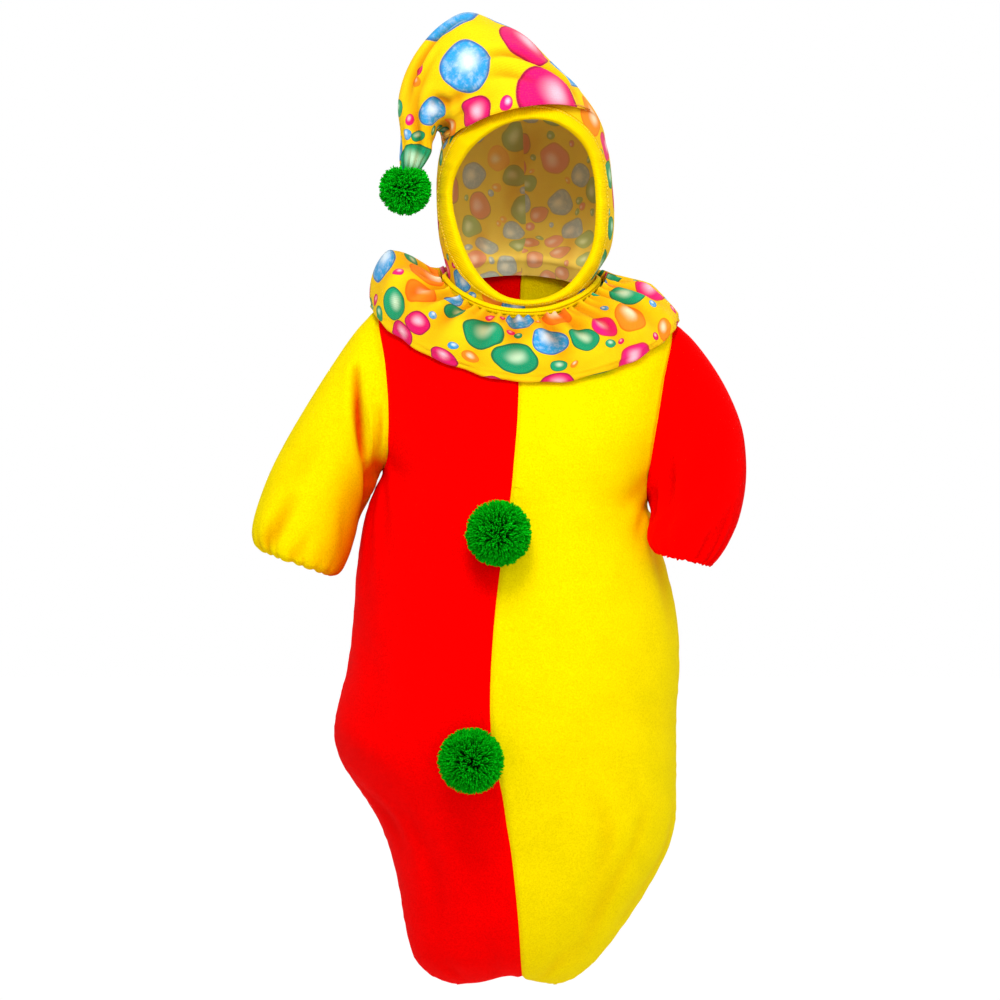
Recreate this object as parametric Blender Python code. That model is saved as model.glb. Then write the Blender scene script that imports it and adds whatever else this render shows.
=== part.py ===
# A baby's clown costume, worn on nothing: a closed sack in two colours with sleeves, a gathered
# printed collar with its band, a printed hood with a long flopped point, and three pompoms.
# The part's frame is in metres with +Z up, +X to the viewer's right and the front facing -Y.
# Sizes in the tables are millimetres.

import math

import bmesh
import bpy
import numpy as np
from mathutils import Vector
from mathutils.bvhtree import BVHTree

MM = 0.001

# Cloth and the room that two pieces leave at a seam
FLEECE_THICKNESS = 2.4
PRINT_THICKNESS = 1.6
BINDING_THICKNESS = 1.5
BINDING_LIFT = 0.95
SEAM_GAP = 0.3

# Round the body: 0 is the viewer's right, a quarter turn on is the back, and so on
RIGHT_SIDE = 2 * math.pi
BACK_MIDDLE = 0.5 * math.pi
LEFT_SIDE = math.pi

# Body sections, from the neckline down to the seam that closes the sack
BODY_COLUMNS = ("left_x", "left_z", "right_x", "right_z", "front", "back", "front_rise", "back_rise", "seam_x")
BODY_ROWS = {
    "neckline": (-58, 12, 63, 10, 48, 46, -26, 13, 2.5),
    "yoke": (-84, 5, 93, -3, 57, 53, -33, 0, 1.5),
    "shoulder": (-108, -7, 119, -18, 66, 60, -47, -18, 0.5),
    "upper_arm": (-113, -38, 122.5, -53, 74, 66, -32, -14, 0),
    "mid_arm": (-114, -70, 121, -87, 80, 70, -18, -8, -1),
    "low_arm": (-110, -102, 112, -121, 86, 73, -8, -4, -3),
    "armpit": (-103.5, -130, 99.5, -154, 90, 76, 0, 0, -5),
    "ribs": (-110, -147, 102.6, -168, 92, 78, 0, 0, -7),
    "waist": (-118.5, -172, 106.5, -184, 95, 79, 0, 0, -10),
    "belly_high": (-124, -208, 114.5, -210, 98, 80, 0, 0, -14.5),
    "belly": (-126.5, -245, 122, -245, 102, 82, 0, 0, -18.5),
    "lap": (-131, -282, 124, -282, 105, 83, 0, 0, -21),
    "knee_high": (-138.5, -312, 122, -312, 107, 83, 0, 0, -21.5),
    "knee": (-141.5, -335, 121.7, -335, 107, 82, 0, 0, -20),
    "knee_low": (-135.5, -356, 121.7, -356, 104, 80, 0, 0, -16.5),
    "hollow": (-121, -378, 121.5, -378, 99, 77, 0, 0, -12),
    "shin_high": (-108, -399, 121, -399, 93, 73, 0, 0, -9),
    "shin": (-98.5, -423, 115, -423, 85, 67, 0, 0, -5.2),
    "shin_low": (-91.5, -452, 100, -452, 76, 60, 0, 0, -2),
    "ankle": (-87, -480, 82, -480, 64, 51, 0, 0, 0.5),
    "foot": (-80.5, -505, 63, -505, 47, 39, 0, 0, 2),
    "toe": (-70, -518, 49.5, -518, 31, 27, 0, 0, 2.7),
    "sole": (-57, -525, 38, -525, 15, 14, 0, 0, 3),
    "end": (-46, -527.5, 29, -527.5, 0, 0, 0, 0, 3),
}
BODY_ORDER = list(BODY_ROWS)
SHOULDER_ROW = BODY_ORDER.index("shoulder")
ARMPIT_ROW = BODY_ORDER.index("armpit")
LAST_ROW = len(BODY_ORDER) - 1

# The armhole's half opening round the body, and the notch between the two feet of the sack
ARMHOLE_FRONT = math.radians(28)
ARMHOLE_BACK = math.radians(25)
MITRE_LIMIT = 0.5
NOTCH_HEIGHT = 8.0
NOTCH_X = -6.0
NOTCH_WIDTH = 17.0
NOTCH_START_ROW = BODY_ORDER.index("shin_low")

# Sleeve sections from the shoulder to the turned-in hem: the outer and inner points of each ring
# in the front view, the ring's depth place, and its reach to the front and the back
SLEEVE_COLUMNS = ("outer_x", "outer_z", "inner_x", "inner_z", "middle_y", "front", "back")
YELLOW_SLEEVE_ROWS = (
    (-124, -23, -107.5, -134.5, -1, 36, 34),
    (-143, -50, -111, -142, -2, 37, 35),
    (-162, -80, -115.5, -152, -4, 37, 35),
    (-179, -109, -120.5, -165, -7, 36, 34),
    (-191.5, -134, -125, -180, -11, 35, 33),
    (-200, -158, -129, -194, -16, 34, 32),
    (-204, -176, -133.5, -205, -19, 32, 30),
    (-203, -186, -137.5, -210, -21, 29.5, 27.5),
    (-199, -191, -142, -211.5, -22, 25.5, 23.5),
    (-195, -193.5, -146, -211, -22.5, 21.5, 20),
)
RED_SLEEVE_ROWS = (
    (133, -29, 101.5, -158, -5, 36, 33),
    (150, -51, 102.5, -163, -10, 37, 32),
    (163, -74, 102, -167, -16, 38, 31),
    (172, -98, 101, -171, -23, 38, 30),
    (175, -122, 99.5, -175, -31, 37, 30),
    (174, -145, 99, -179, -39, 35, 29),
    (169, -167, 99, -183.5, -46, 32, 27),
    (161, -185, 100.5, -188, -52, 28, 24.5),
    (153, -197, 103, -191.5, -56, 23.5, 21),
    (147, -202.5, 106, -193.5, -58, 19.5, 17.5),
)
CUFF_PUCKERS = 7
CUFF_PUCKER_DEPTH = 1.3

# Soft folds in the sleeves: start and end as ring number and turns round the ring (0 outer edge,
# 0.25 front, 0.5 inner edge), with depth (a trough is negative) and half width
FOLD_COLUMNS = ("ring_a", "turn_a", "ring_b", "turn_b", "depth", "width")
SLEEVE_RING_PITCH = 24.0
SLEEVE_RADIUS = 37.0
YELLOW_SLEEVE_FOLDS = (
    (1.2, 0.34, 4.6, 0.40, -5.0, 9.0),
    (0.6, 0.22, 3.4, 0.28, 2.2, 13.0),
    (1.6, 0.60, 4.4, 0.66, -4.0, 10.0),
    (5.4, 0.16, 8.0, 0.10, -2.4, 9.0),
)
RED_SLEEVE_FOLDS = (
    (1.4, 0.30, 4.2, 0.36, -3.5, 9.0),
    (3.6, 0.16, 5.2, 0.30, -2.6, 9.0),
    (2.2, 0.70, 5.0, 0.66, -3.0, 10.0),
    (6.6, 0.12, 8.4, 0.18, -1.6, 9.0),
)

# Hood sections, from the hem inside the neck, over the head, and along the flopped point
HOOD_COLUMNS = ("inner_x", "inner_z", "outer_x", "outer_z", "middle_y", "front", "back", "front_rise", "back_rise")
HOOD_ROWS = {
    "hem": (-53, 7, 58, 5, 1.8, 43, 41, -22.5, 13),
    "neck": (-53.8, 16, 58.8, 14, -1.5, 45, 41.4, -22.5, 13),
    "jaw": (-54.6, 22.5, 60.2, 20.5, -3, 48, 42.3, -17, 12),
    "cheek_low": (-58, 36, 69.5, 35, -2, 59, 57, -6, 7),
    "cheek": (-61, 50, 73.3, 50, 0, 68, 66, 0, 2),
    "ear": (-62.5, 70, 74, 70, 0, 73, 72, 0, 0),
    "temple": (-62.8, 90, 72.5, 90, 0, 75, 75, 4, 0),
    "brow": (-61.5, 106, 70.5, 109, 0, 74, 76, 12, 2),
    "brow_high": (-59.5, 114.5, 67.5, 121, 0, 71, 76, 20, 4),
    "crease": (-58.5, 118.5, 65.5, 131, -1, 65, 75, 29, 8),
    "lip": (-58.5, 122, 58.5, 146, -3, 73, 72, 18, 8),
    "point_1": (-58.8, 125, 46, 162, -5, 74, 67, 18, 8),
    "point_2": (-59.2, 127.5, 28, 180, -9, 66, 60, 13, 6),
    "point_3": (-60, 129.5, 5, 203, -14, 55, 50, 6, 3),
    "point_4": (-61, 130.8, -16, 213.5, -18, 46, 42, 2, 1),
    "point_5": (-62, 131.2, -38, 221, -22, 39, 35, 0, 0),
    "point_6": (-63, 130.5, -57, 213, -25, 33, 30, 0, 0),
    "point_7": (-64, 128.5, -75, 194, -27, 28, 26, 0, 0),
    "point_8": (-65, 125, -87, 172, -29, 24, 22, 0, 0),
    "point_9": (-66, 120, -92, 150, -30, 20, 18, 0, 0),
    "point_10": (-66.5, 113.5, -90, 127, -31, 14, 13, 0, 0),
    "point_11": (-70.5, 106, -91, 110, -31, 10, 9.5, 0, 0),
    "gather": (-75, 100, -90, 101, -31, 6.5, 6.5, 0, 0),
    "tie": (-80.5, 96.2, -87.5, 96.2, -31, 3.2, 3.2, 0, 0),
}
HOOD_ORDER = list(HOOD_ROWS)
CREASE_ROW = HOOD_ORDER.index("crease")
HOOD_RING_PITCH = 22.0
HOOD_RADIUS = 50.0
HOOD_FOLDS = (
    (11.2, 0.78, 14.2, 0.68, 3.0, 9.0),
    (11.6, 0.86, 14.6, 0.76, -2.5, 9.0),
    (15.0, 0.93, 19.2, 0.80, -3.5, 7.0),
    (12.5, 0.20, 17.0, 0.30, -4.0, 10.0),
    (4.5, 0.28, 8.5, 0.22, -2.5, 12.0),
)

# The face opening's edge in the front view, clockwise from its top, and how wide the binding
# looks beside each point
OPENING_COLUMNS = ("x", "z", "binding")
OPENING_ROWS = (
    (9, 139.4, 10),
    (32, 135.5, 9.5),
    (51.5, 119.5, 8),
    (60, 96, 6.5),
    (61.5, 65.5, 6.5),
    (58, 38.5, 6.5),
    (46, 17.5, 7),
    (31, 5.2, 4.2),
    (11, -0.4, 2.8),
    (-11.5, 2.9, 3.8),
    (-29.5, 17, 8),
    (-42.5, 38.5, 10),
    (-51, 65.5, 9.3),
    (-52.4, 84.7, 8.3),
    (-47.5, 101.6, 10.5),
    (-35, 119.4, 14),
    (-14, 134, 11.5),
)
OPENING_DEPTH = (-150.0, -8.0)

# The collar lies on the body from the neckline to about the shoulder row. Each row gives its turn
# round the body, where its edge comes, how high it puffs, and where along it the puff is highest
COLLAR_COLUMNS = ("turn", "edge_row", "puff", "crest")
COLLAR_ROWS = (
    (0.00, 1.95, 9, 0.50),
    (0.08, 1.96, 10, 0.50),
    (0.25, 1.95, 9, 0.55),
    (0.40, 1.96, 13, 0.60),
    (0.47, 1.97, 23, 0.56),
    (0.50, 1.97, 29.5, 0.56),
    (0.54, 1.98, 24, 0.56),
    (0.60, 2.00, 14, 0.60),
    (0.68, 2.02, 10, 0.60),
    (0.75, 2.04, 9, 0.60),
    (0.82, 2.04, 9, 0.60),
    (0.90, 2.02, 10, 0.55),
    (0.96, 1.96, 9, 0.52),
)
COLLAR_START_ROW = 0.1
COLLAR_CLEARANCE = 0.9
COLLAR_FOLD_RADIUS = 2.9
COLLAR_GATHERS = 20
COLLAR_GATHER_DEPTH = 1.6
COLLAR_WAVE_DEPTH = 3.4
COLLAR_PLY_GAP = 0.4

# The neck band: its section as steps out from the neckline and up along the neck
BAND_LEAN = math.radians(21)
BAND_SECTION = ((-2.9, 0.35), (0.0, 0.35), (0.8, 3.6), (0.5, 7.2), (-1.2, 8.9), (-2.8, 8.1), (-3.1, 3.8))

# Pompoms: each strand is one face of a core ball drawn out to a point
POMPOM_RADIUS = 25.4
HOOD_POMPOM_RADIUS = 20.2
POMPOM_CORE_SHARE = 0.5
CHEST_POMPOM = (-15, -178.5)
KNEE_POMPOM = (-36, -352.5)
HOOD_POMPOM = (-86.5, -31, 85.2)
POMPOM_SINK = 0.74
STRAND_TIP_SHARE = 0.42

# How finely the solids are divided
PANEL_COLUMNS = 9
ARMHOLE_STEPS = 12
HOOD_COLUMNS_ROUND = 28
COLLAR_STEPS = 72
BAND_STEPS = 48
BINDING_STEPS = 56

# Colours as they look: linear red, green and blue
RED = (0.85, 0.0, 0.0)
YELLOW = (1.0, 0.82, 0.0)
PRINT_YELLOW = (1.0, 0.62, 0.02)
BAND_YELLOW = (1.0, 0.72, 0.0)
GREEN = (0.0, 0.28, 0.02)


def clear_scene():
    """Removes whatever the file holds."""
    for thing in list(bpy.data.objects):
        bpy.data.objects.remove(thing)


def make_material(name, colour, roughness):
    """A plain cloth material of one colour."""
    material = bpy.data.materials.new(name)
    material.use_nodes = True
    shader = material.node_tree.nodes["Principled BSDF"]
    shader.inputs["Base Color"].default_value = (*colour, 1.0)
    shader.inputs["Roughness"].default_value = roughness
    shader.inputs["Metallic"].default_value = 0.0
    return material


def columns_of(names, rows):
    """A table's rows as an array, with a dictionary from column name to its place."""
    return np.array(list(rows), float), {name: place for place, name in enumerate(names)}


def smooth_between(values, where, closed=False):
    """Values at fractional row numbers, on a curve that passes through every row."""
    values = np.asarray(values, float)
    where = np.asarray(where, float)
    count = len(values)
    start = np.floor(where).astype(int)
    start = start if closed else np.clip(start, 0, count - 2)
    share = (where - start)[..., None]

    def row(step):
        place = start + step
        return values[place % count] if closed else values[np.clip(place, 0, count - 1)]

    before, here, after, beyond = row(-1), row(0), row(1), row(2)
    return 0.5 * (
        2 * here
        + (after - before) * share
        + (2 * before - 5 * here + 4 * after - beyond) * share**2
        + (3 * here - before - 3 * after + beyond) * share**3
    )


def fold_height(along, around, length_round, folds):
    """The height of soft folds at a place on a tube, both given in millimetres."""
    height = np.zeros(np.broadcast(along, around).shape)
    for ring_a, turn_a, ring_b, turn_b, depth, width in folds:
        start = np.array([ring_a, turn_a * length_round])
        run = np.array([ring_b, turn_b * length_round]) - start
        off_along = along - start[0]
        off_around = (around - start[1] + length_round / 2) % length_round - length_round / 2
        share = np.clip((off_along * run[0] + off_around * run[1]) / (run @ run), 0, 1)
        away = np.hypot(off_along - share * run[0], off_around - share * run[1])
        height = height + depth * np.exp(-((away / width) ** 2)) * (1 - 0.35 * (2 * share - 1) ** 2)
    return height


def eased(normals, times):
    """Normals on a tube evened out along it, so that the wall behind a tight crease stays whole."""
    for _ in range(times):
        inside = (normals[:-2] + 2 * normals[1:-1] + normals[2:]) / 4
        normals = np.concatenate([normals[:1], inside, normals[-1:]])
        normals = normals / np.linalg.norm(normals, axis=-1, keepdims=True)
    return normals


def surface_normals(point_at, down, turn, flip=1.0, step=0.01):
    """Unit normals of a surface given as a function of two parameters."""
    across = point_at(down, turn + step) - point_at(down, turn - step)
    along = point_at(down + step, turn) - point_at(down - step, turn)
    normal = np.cross(across, along) * flip
    return normal / np.maximum(np.linalg.norm(normal, axis=-1, keepdims=True), 1e-9)


def body_point(row, turn):
    """The body's outer surface at a fractional row and an angle round it."""
    row, turn = np.broadcast_arrays(np.asarray(row, float), np.asarray(turn, float))
    table, at = columns_of(BODY_COLUMNS, BODY_ROWS.values())
    row = np.clip(row, 0, LAST_ROW)
    section = smooth_between(table, row)
    cosine, sine = np.cos(turn), np.sin(turn)
    share = (1 + cosine) / 2
    x = section[..., at["left_x"]] * (1 - share) + section[..., at["right_x"]] * share
    z = section[..., at["left_z"]] * (1 - share) + section[..., at["right_z"]] * share
    to_front = sine < 0
    reach = np.where(to_front, section[..., at["front"]], section[..., at["back"]])
    rise = np.where(to_front, section[..., at["front_rise"]], section[..., at["back_rise"]])
    z = z + rise * np.abs(sine) ** 1.5
    notch_share = np.clip((row - NOTCH_START_ROW) / (LAST_ROW - NOTCH_START_ROW), 0, 1) ** 2
    z = z + NOTCH_HEIGHT * notch_share * np.exp(-(((x - NOTCH_X) / NOTCH_WIDTH) ** 2))
    return np.stack([x, reach * sine, z], axis=-1)


def body_normal(row, turn):
    """Outward unit normals of the body. On the closing seam they have no forward tilt."""
    row, turn = np.broadcast_arrays(np.asarray(row, float), np.asarray(turn, float))
    normal = surface_normals(body_point, np.clip(row, 0.02, LAST_ROW - 0.05), turn, flip=-1.0)
    on_side = np.abs(np.sin(turn)) < 1e-6
    flat = on_side | (row > LAST_ROW - 1e-6)
    normal[..., 1] = np.where(flat, 0.0, normal[..., 1])
    return normal / np.linalg.norm(normal, axis=-1, keepdims=True)


def seam_turn(row, at_front):
    """The angle at which the middle seam crosses a row, at the front or the back."""
    table, at = columns_of(BODY_COLUMNS, BODY_ROWS.values())
    section = smooth_between(table, np.clip(row, 0, LAST_ROW))
    middle = (section[..., at["left_x"]] + section[..., at["right_x"]]) / 2
    half = (section[..., at["right_x"]] - section[..., at["left_x"]]) / 2
    angle = np.arccos(np.clip((section[..., at["seam_x"]] - middle) / half, -1, 1))
    return 2 * math.pi - angle if at_front else angle


def armhole_edge(row, at_front):
    """How far round the body, from the side, the armhole's edge lies at a row."""
    share = np.clip((row - SHOULDER_ROW) / (ARMPIT_ROW - SHOULDER_ROW), 0, 1)
    widest = ARMHOLE_FRONT if at_front else ARMHOLE_BACK
    return widest * np.sqrt(np.clip(1 - (2 * share - 1) ** 2, 0, 1))


def panel_rows():
    """The fractional rows at which a body panel is divided: evenly round the armhole's curve."""
    yoke = np.linspace(0, SHOULDER_ROW, 5)[:-1]
    turns = np.linspace(0, math.pi, ARMHOLE_STEPS + 1)
    armhole = SHOULDER_ROW + (ARMPIT_ROW - SHOULDER_ROW) * (1 - np.cos(turns)) / 2
    below = np.arange(ARMPIT_ROW + 1, LAST_ROW - 2)
    closing = np.array([LAST_ROW - 2, LAST_ROW - 1.5, LAST_ROW - 1, LAST_ROW - 0.5, LAST_ROW])
    return np.concatenate([yoke, armhole, below, closing])


def make_solid(name, points, faces, material):
    """An object from points in millimetres and faces that close on themselves."""
    mesh = bpy.data.meshes.new(name)
    mesh.from_pydata([tuple(p * MM) for p in np.asarray(points, float)], [], [list(f) for f in faces])
    mesh.materials.append(material)
    mesh.shade_smooth()
    mesh.set_sharp_from_angle(angle=math.radians(40))
    thing = bpy.data.objects.new(name, mesh)
    bpy.context.scene.collection.objects.link(thing)
    return thing


def grid_faces(rows, columns, start=0, closed=False, flipped=False, halved=False):
    """Quads over a grid of points, row by row, or their halves as triangles."""
    faces = []
    for i in range(rows - 1):
        for j in range(columns if closed else columns - 1):
            k = (j + 1) % columns
            quad = [start + q for q in (i * columns + j, i * columns + k, (i + 1) * columns + k, (i + 1) * columns + j)]
            parts = [quad[:3], [quad[0], quad[2], quad[3]]] if halved else [quad]
            faces += [tuple(part[::-1] if flipped else part) for part in parts]
    return faces


def sheet_solid(name, outer, inner, material):
    """A closed wall between two open grids, with a rim on all four edges."""
    rows, columns = outer.shape[:2]
    count = rows * columns
    faces = grid_faces(rows, columns) + grid_faces(rows, columns, start=count, flipped=True)
    around = [(0, j) for j in range(columns)]
    around += [(i, columns - 1) for i in range(1, rows)]
    around += [(rows - 1, j) for j in range(columns - 2, -1, -1)]
    around += [(i, 0) for i in range(rows - 2, 0, -1)]
    edge = [i * columns + j for i, j in around]
    for a, b in zip(edge, edge[1:] + edge[:1]):
        faces.append((b, a, a + count, b + count))
    points = np.concatenate([outer.reshape(-1, 3), inner.reshape(-1, 3)])
    return face_outwards(make_solid(name, points, faces, material))


def tube_solid(name, outer, inner, material, capped=False):
    """A closed wall between two tubes of rings, open at both ends or capped at the last ring."""
    rows, columns = outer.shape[:2]
    count = rows * columns
    faces = grid_faces(rows, columns, closed=True, halved=capped)
    faces += grid_faces(rows, columns, start=count, closed=True, flipped=True, halved=capped)
    for j in range(columns):
        k = (j + 1) % columns
        faces.append((k, j, count + j, count + k))
        if not capped:
            last = (rows - 1) * columns
            faces.append((last + j, last + k, count + last + k, count + last + j))
    if capped:
        last = (rows - 1) * columns
        faces.append([last + j for j in range(columns)])
        faces.append([count + last + j for j in reversed(range(columns))])
    points = np.concatenate([outer.reshape(-1, 3), inner.reshape(-1, 3)])
    return face_outwards(make_solid(name, points, faces, material))


def face_outwards(thing):
    """Turns the faces outwards if the closed mesh came out inside out."""
    work = bmesh.new()
    work.from_mesh(thing.data)
    if work.calc_volume(signed=True) < 0:
        bmesh.ops.reverse_faces(work, faces=work.faces)
    work.to_mesh(thing.data)
    work.free()
    return thing


def moved_along(edge, neighbour, distance):
    """Edge points moved towards their neighbours by a distance."""
    way = neighbour - edge
    return edge + way / np.linalg.norm(way, axis=-1, keepdims=True) * distance


def make_panel(name, at_front, at_left, material):
    """One of the body's four panels, from its side seam or armhole to the middle seam."""
    rows = panel_rows()
    edge = armhole_edge(rows, at_front)
    middle = seam_turn(rows, at_front)
    if at_front:
        side = LEFT_SIDE + edge if at_left else RIGHT_SIDE - edge
    else:
        side = LEFT_SIDE - edge if at_left else edge
    share = np.linspace(0, 1, PANEL_COLUMNS + 1)
    turn = side[:, None] * (1 - share) + middle[:, None] * share
    row = np.repeat(rows[:, None], len(share), axis=1)
    outer = body_point(row, turn)
    normal = body_normal(row, turn)
    outer[:, 0] = moved_along(outer[:, 0], outer[:, 1], SEAM_GAP / 2)
    outer[:, -1] = moved_along(outer[:, -1], outer[:, -2], SEAM_GAP / 2)
    forward = -1 if at_front else 1
    outer[-1, :, 1] += forward * SEAM_GAP / 2
    rim, mitre, towards_sleeve = armhole_rim(at_left)
    first = int(np.searchsorted(rows, SHOULDER_ROW - 1e-6))
    for step in range(ARMHOLE_STEPS + 1):
        around = step if at_front else -step
        at_corner = step in (0, ARMHOLE_STEPS)
        outer[first + step, 0] = rim[around] - towards_sleeve[around] * SEAM_GAP / 2
        outer[first + step, 0, 1] += forward * SEAM_GAP / 2 if at_corner else 0.0
        normal[first + step, 0] = mitre[around]
    inner = outer - normal * FLEECE_THICKNESS
    inner[:, :, 1] = forward * np.maximum(forward * inner[:, :, 1], SEAM_GAP / 2)
    inner[-3:-1, 1:-1, 2] = np.maximum(inner[-3:-1, 1:-1, 2], outer[-3:-1, 1:-1, 2] + 1.2)
    return sheet_solid(name, outer, inner, material)


def sleeve_point(table, at, row, turn):
    """A sleeve's outer surface at a fractional ring and an angle: 0 is its outer edge."""
    section = smooth_between(table, np.clip(row, 0, len(table) - 1))
    share = (1 + np.cos(turn)) / 2
    x = section[..., at["inner_x"]] * (1 - share) + section[..., at["outer_x"]] * share
    z = section[..., at["inner_z"]] * (1 - share) + section[..., at["outer_z"]] * share
    reach = np.where(np.sin(turn) > 0, section[..., at["front"]], section[..., at["back"]])
    y = section[..., at["middle_y"]] - reach * np.sin(turn)
    return np.stack([x, y, z], axis=-1)


def armhole_rim(at_left):
    """Round the armhole from its top by way of the front: points on the body, the mitre's
    outward way scaled to its length, and the way that leads to the sleeve."""
    rows = YELLOW_SLEEVE_ROWS if at_left else RED_SLEEVE_ROWS
    table, at = columns_of(SLEEVE_COLUMNS, rows)
    turns = np.linspace(0, 2 * math.pi, 2 * ARMHOLE_STEPS, endpoint=False)
    row = SHOULDER_ROW + (ARMPIT_ROW - SHOULDER_ROW) * (1 - np.cos(turns)) / 2
    reach = np.where(np.sin(turns) >= 0, ARMHOLE_FRONT, ARMHOLE_BACK)
    around = reach * np.sin(turns)
    turn = LEFT_SIDE + around if at_left else RIGHT_SIDE - around
    rim = body_point(row, turn)
    on_body = body_normal(row, turn)
    sleeve = sleeve_point(table, at, np.zeros(len(turns)), turns)
    along = np.roll(rim, -1, axis=0) - np.roll(rim, 1, axis=0)
    along /= np.linalg.norm(along, axis=1, keepdims=True)
    on_sleeve = np.cross(along, sleeve - rim)
    on_sleeve /= np.linalg.norm(on_sleeve, axis=1, keepdims=True)
    away = (rim + sleeve) / 2 - (rim + sleeve).mean(axis=0) / 2
    on_sleeve *= np.sign(np.sum(on_sleeve * away, axis=1, keepdims=True))
    mitre = on_body + on_sleeve
    mitre /= np.linalg.norm(mitre, axis=1, keepdims=True)
    mitre = (np.roll(mitre, 1, axis=0) + 2 * mitre + np.roll(mitre, -1, axis=0)) / 4
    mitre /= np.linalg.norm(mitre, axis=1, keepdims=True)
    half_cosine = np.sum(mitre * on_body, axis=1, keepdims=True)
    towards_sleeve = np.cross(along, mitre)
    towards_sleeve /= np.linalg.norm(towards_sleeve, axis=1, keepdims=True)
    towards_sleeve *= np.sign(np.sum(towards_sleeve * (sleeve - rim), axis=1, keepdims=True))
    return rim, mitre / np.clip(half_cosine, MITRE_LIMIT, 1), towards_sleeve


def make_sleeve(name, rows, folds, at_left, material):
    """A sleeve from the armhole's edge to a hem that turns in at the cuff."""
    rim, mitre, towards_sleeve = armhole_rim(at_left)
    table, at = columns_of(SLEEVE_COLUMNS, rows)
    turns = np.linspace(0, 2 * math.pi, 2 * ARMHOLE_STEPS, endpoint=False)
    last = len(table) - 1

    def ring_point(row, turn):
        return sleeve_point(table, at, row, turn)

    row, turn = np.meshgrid(np.arange(last + 1, dtype=float), turns, indexing="ij")
    points = ring_point(row, turn)
    normal = surface_normals(ring_point, np.clip(row, 0.02, last - 0.02), turn)
    middle = points.mean(axis=1, keepdims=True)
    outwards = np.sum(normal[1] * (points[1] - middle[1]), axis=-1).mean()
    normal = normal * np.sign(outwards)
    length_round = 2 * math.pi * SLEEVE_RADIUS
    in_rings = [(a * SLEEVE_RING_PITCH, b, c * SLEEVE_RING_PITCH, d, e, f) for a, b, c, d, e, f in folds]
    height = fold_height((row + 1) * SLEEVE_RING_PITCH, turn * SLEEVE_RADIUS, length_round, in_rings)
    near_cuff = np.clip((row - last + 4.5) / 2.5, 0, 1)
    height = height - CUFF_PUCKER_DEPTH * near_cuff * (1 + np.cos(CUFF_PUCKERS * turn)) / 2
    points = points + normal * height[..., None]
    outer = np.concatenate([(rim + towards_sleeve * SEAM_GAP / 2)[None], points])
    inner = outer - np.concatenate([mitre[None], normal]) * FLEECE_THICKNESS
    return tube_solid(name, outer, inner, material)


def hood_point(row, turn):
    """The hood's outer surface at a fractional row and an angle round it, folds left out."""
    row, turn = np.broadcast_arrays(np.asarray(row, float), np.asarray(turn, float))
    table, at = columns_of(HOOD_COLUMNS, HOOD_ROWS.values())
    section = smooth_between(table, np.clip(row, 0, len(table) - 1))
    cosine, sine = np.cos(turn), np.sin(turn)
    share = (1 + cosine) / 2
    x = section[..., at["inner_x"]] * (1 - share) + section[..., at["outer_x"]] * share
    z = section[..., at["inner_z"]] * (1 - share) + section[..., at["outer_z"]] * share
    to_front = sine < 0
    reach = np.where(to_front, section[..., at["front"]], section[..., at["back"]])
    rise = np.where(to_front, section[..., at["front_rise"]], section[..., at["back_rise"]])
    z = z + rise * np.abs(sine) ** 1.3
    return np.stack([x, section[..., at["middle_y"]] + reach * sine, z], axis=-1)


def hood_rows():
    """The rows at which the hood is divided: every section, with more at the crease and the tip."""
    last = len(HOOD_ORDER) - 1
    return np.sort(np.concatenate([np.arange(last + 1.0), [CREASE_ROW + 0.5]]))


def hood_wall():
    """The hood's outer and inner points, folds included."""
    rows = hood_rows()
    turns = np.linspace(0, 2 * math.pi, HOOD_COLUMNS_ROUND, endpoint=False)
    row, turn = np.meshgrid(rows, turns, indexing="ij")
    points = hood_point(row, turn)
    last = len(HOOD_ORDER) - 1
    normal = surface_normals(hood_point, np.clip(row, 0.02, last - 0.02), turn)
    middle = points.mean(axis=1, keepdims=True)
    outwards = np.sum(normal[4] * (points[4] - middle[4]), axis=-1).mean()
    normal = normal * np.sign(outwards)
    length_round = 2 * math.pi * HOOD_RADIUS
    in_rings = [(a * HOOD_RING_PITCH, b, c * HOOD_RING_PITCH, d, e, f) for a, b, c, d, e, f in HOOD_FOLDS]
    height = fold_height(row * HOOD_RING_PITCH, turn * HOOD_RADIUS, length_round, in_rings)
    points = points + normal * height[..., None]
    return points, points - eased(normal, 3) * PRINT_THICKNESS


def closed_curve(table, steps):
    """Points evenly spread by row number on the closed curve through a table's rows."""
    where = np.linspace(0, len(table), steps, endpoint=False)
    return smooth_between(table, where, closed=True)


def make_hood(material):
    """The hood's wall with the face opening cut through its front."""
    outer, inner = hood_wall()
    hood = tube_solid("hood", outer, inner, material, capped=True)
    outline = closed_curve(OPENING_ROWS, BINDING_STEPS)[:, :2]
    near, far = OPENING_DEPTH
    points = [(x, near, z) for x, z in outline] + [(x, far, z) for x, z in outline]
    count = len(outline)
    faces = [tuple(range(count)), tuple(range(2 * count - 1, count - 1, -1))]
    faces += [(j, (j + 1) % count, count + (j + 1) % count, count + j) for j in range(count)]
    cutter = face_outwards(make_solid("face_opening_cutter", points, faces, material))
    cutter.hide_render = True
    cutter.display_type = "WIRE"
    cut = hood.modifiers.new("face opening", "BOOLEAN")
    cut.operation = "DIFFERENCE"
    cut.object = cutter
    return hood


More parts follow.
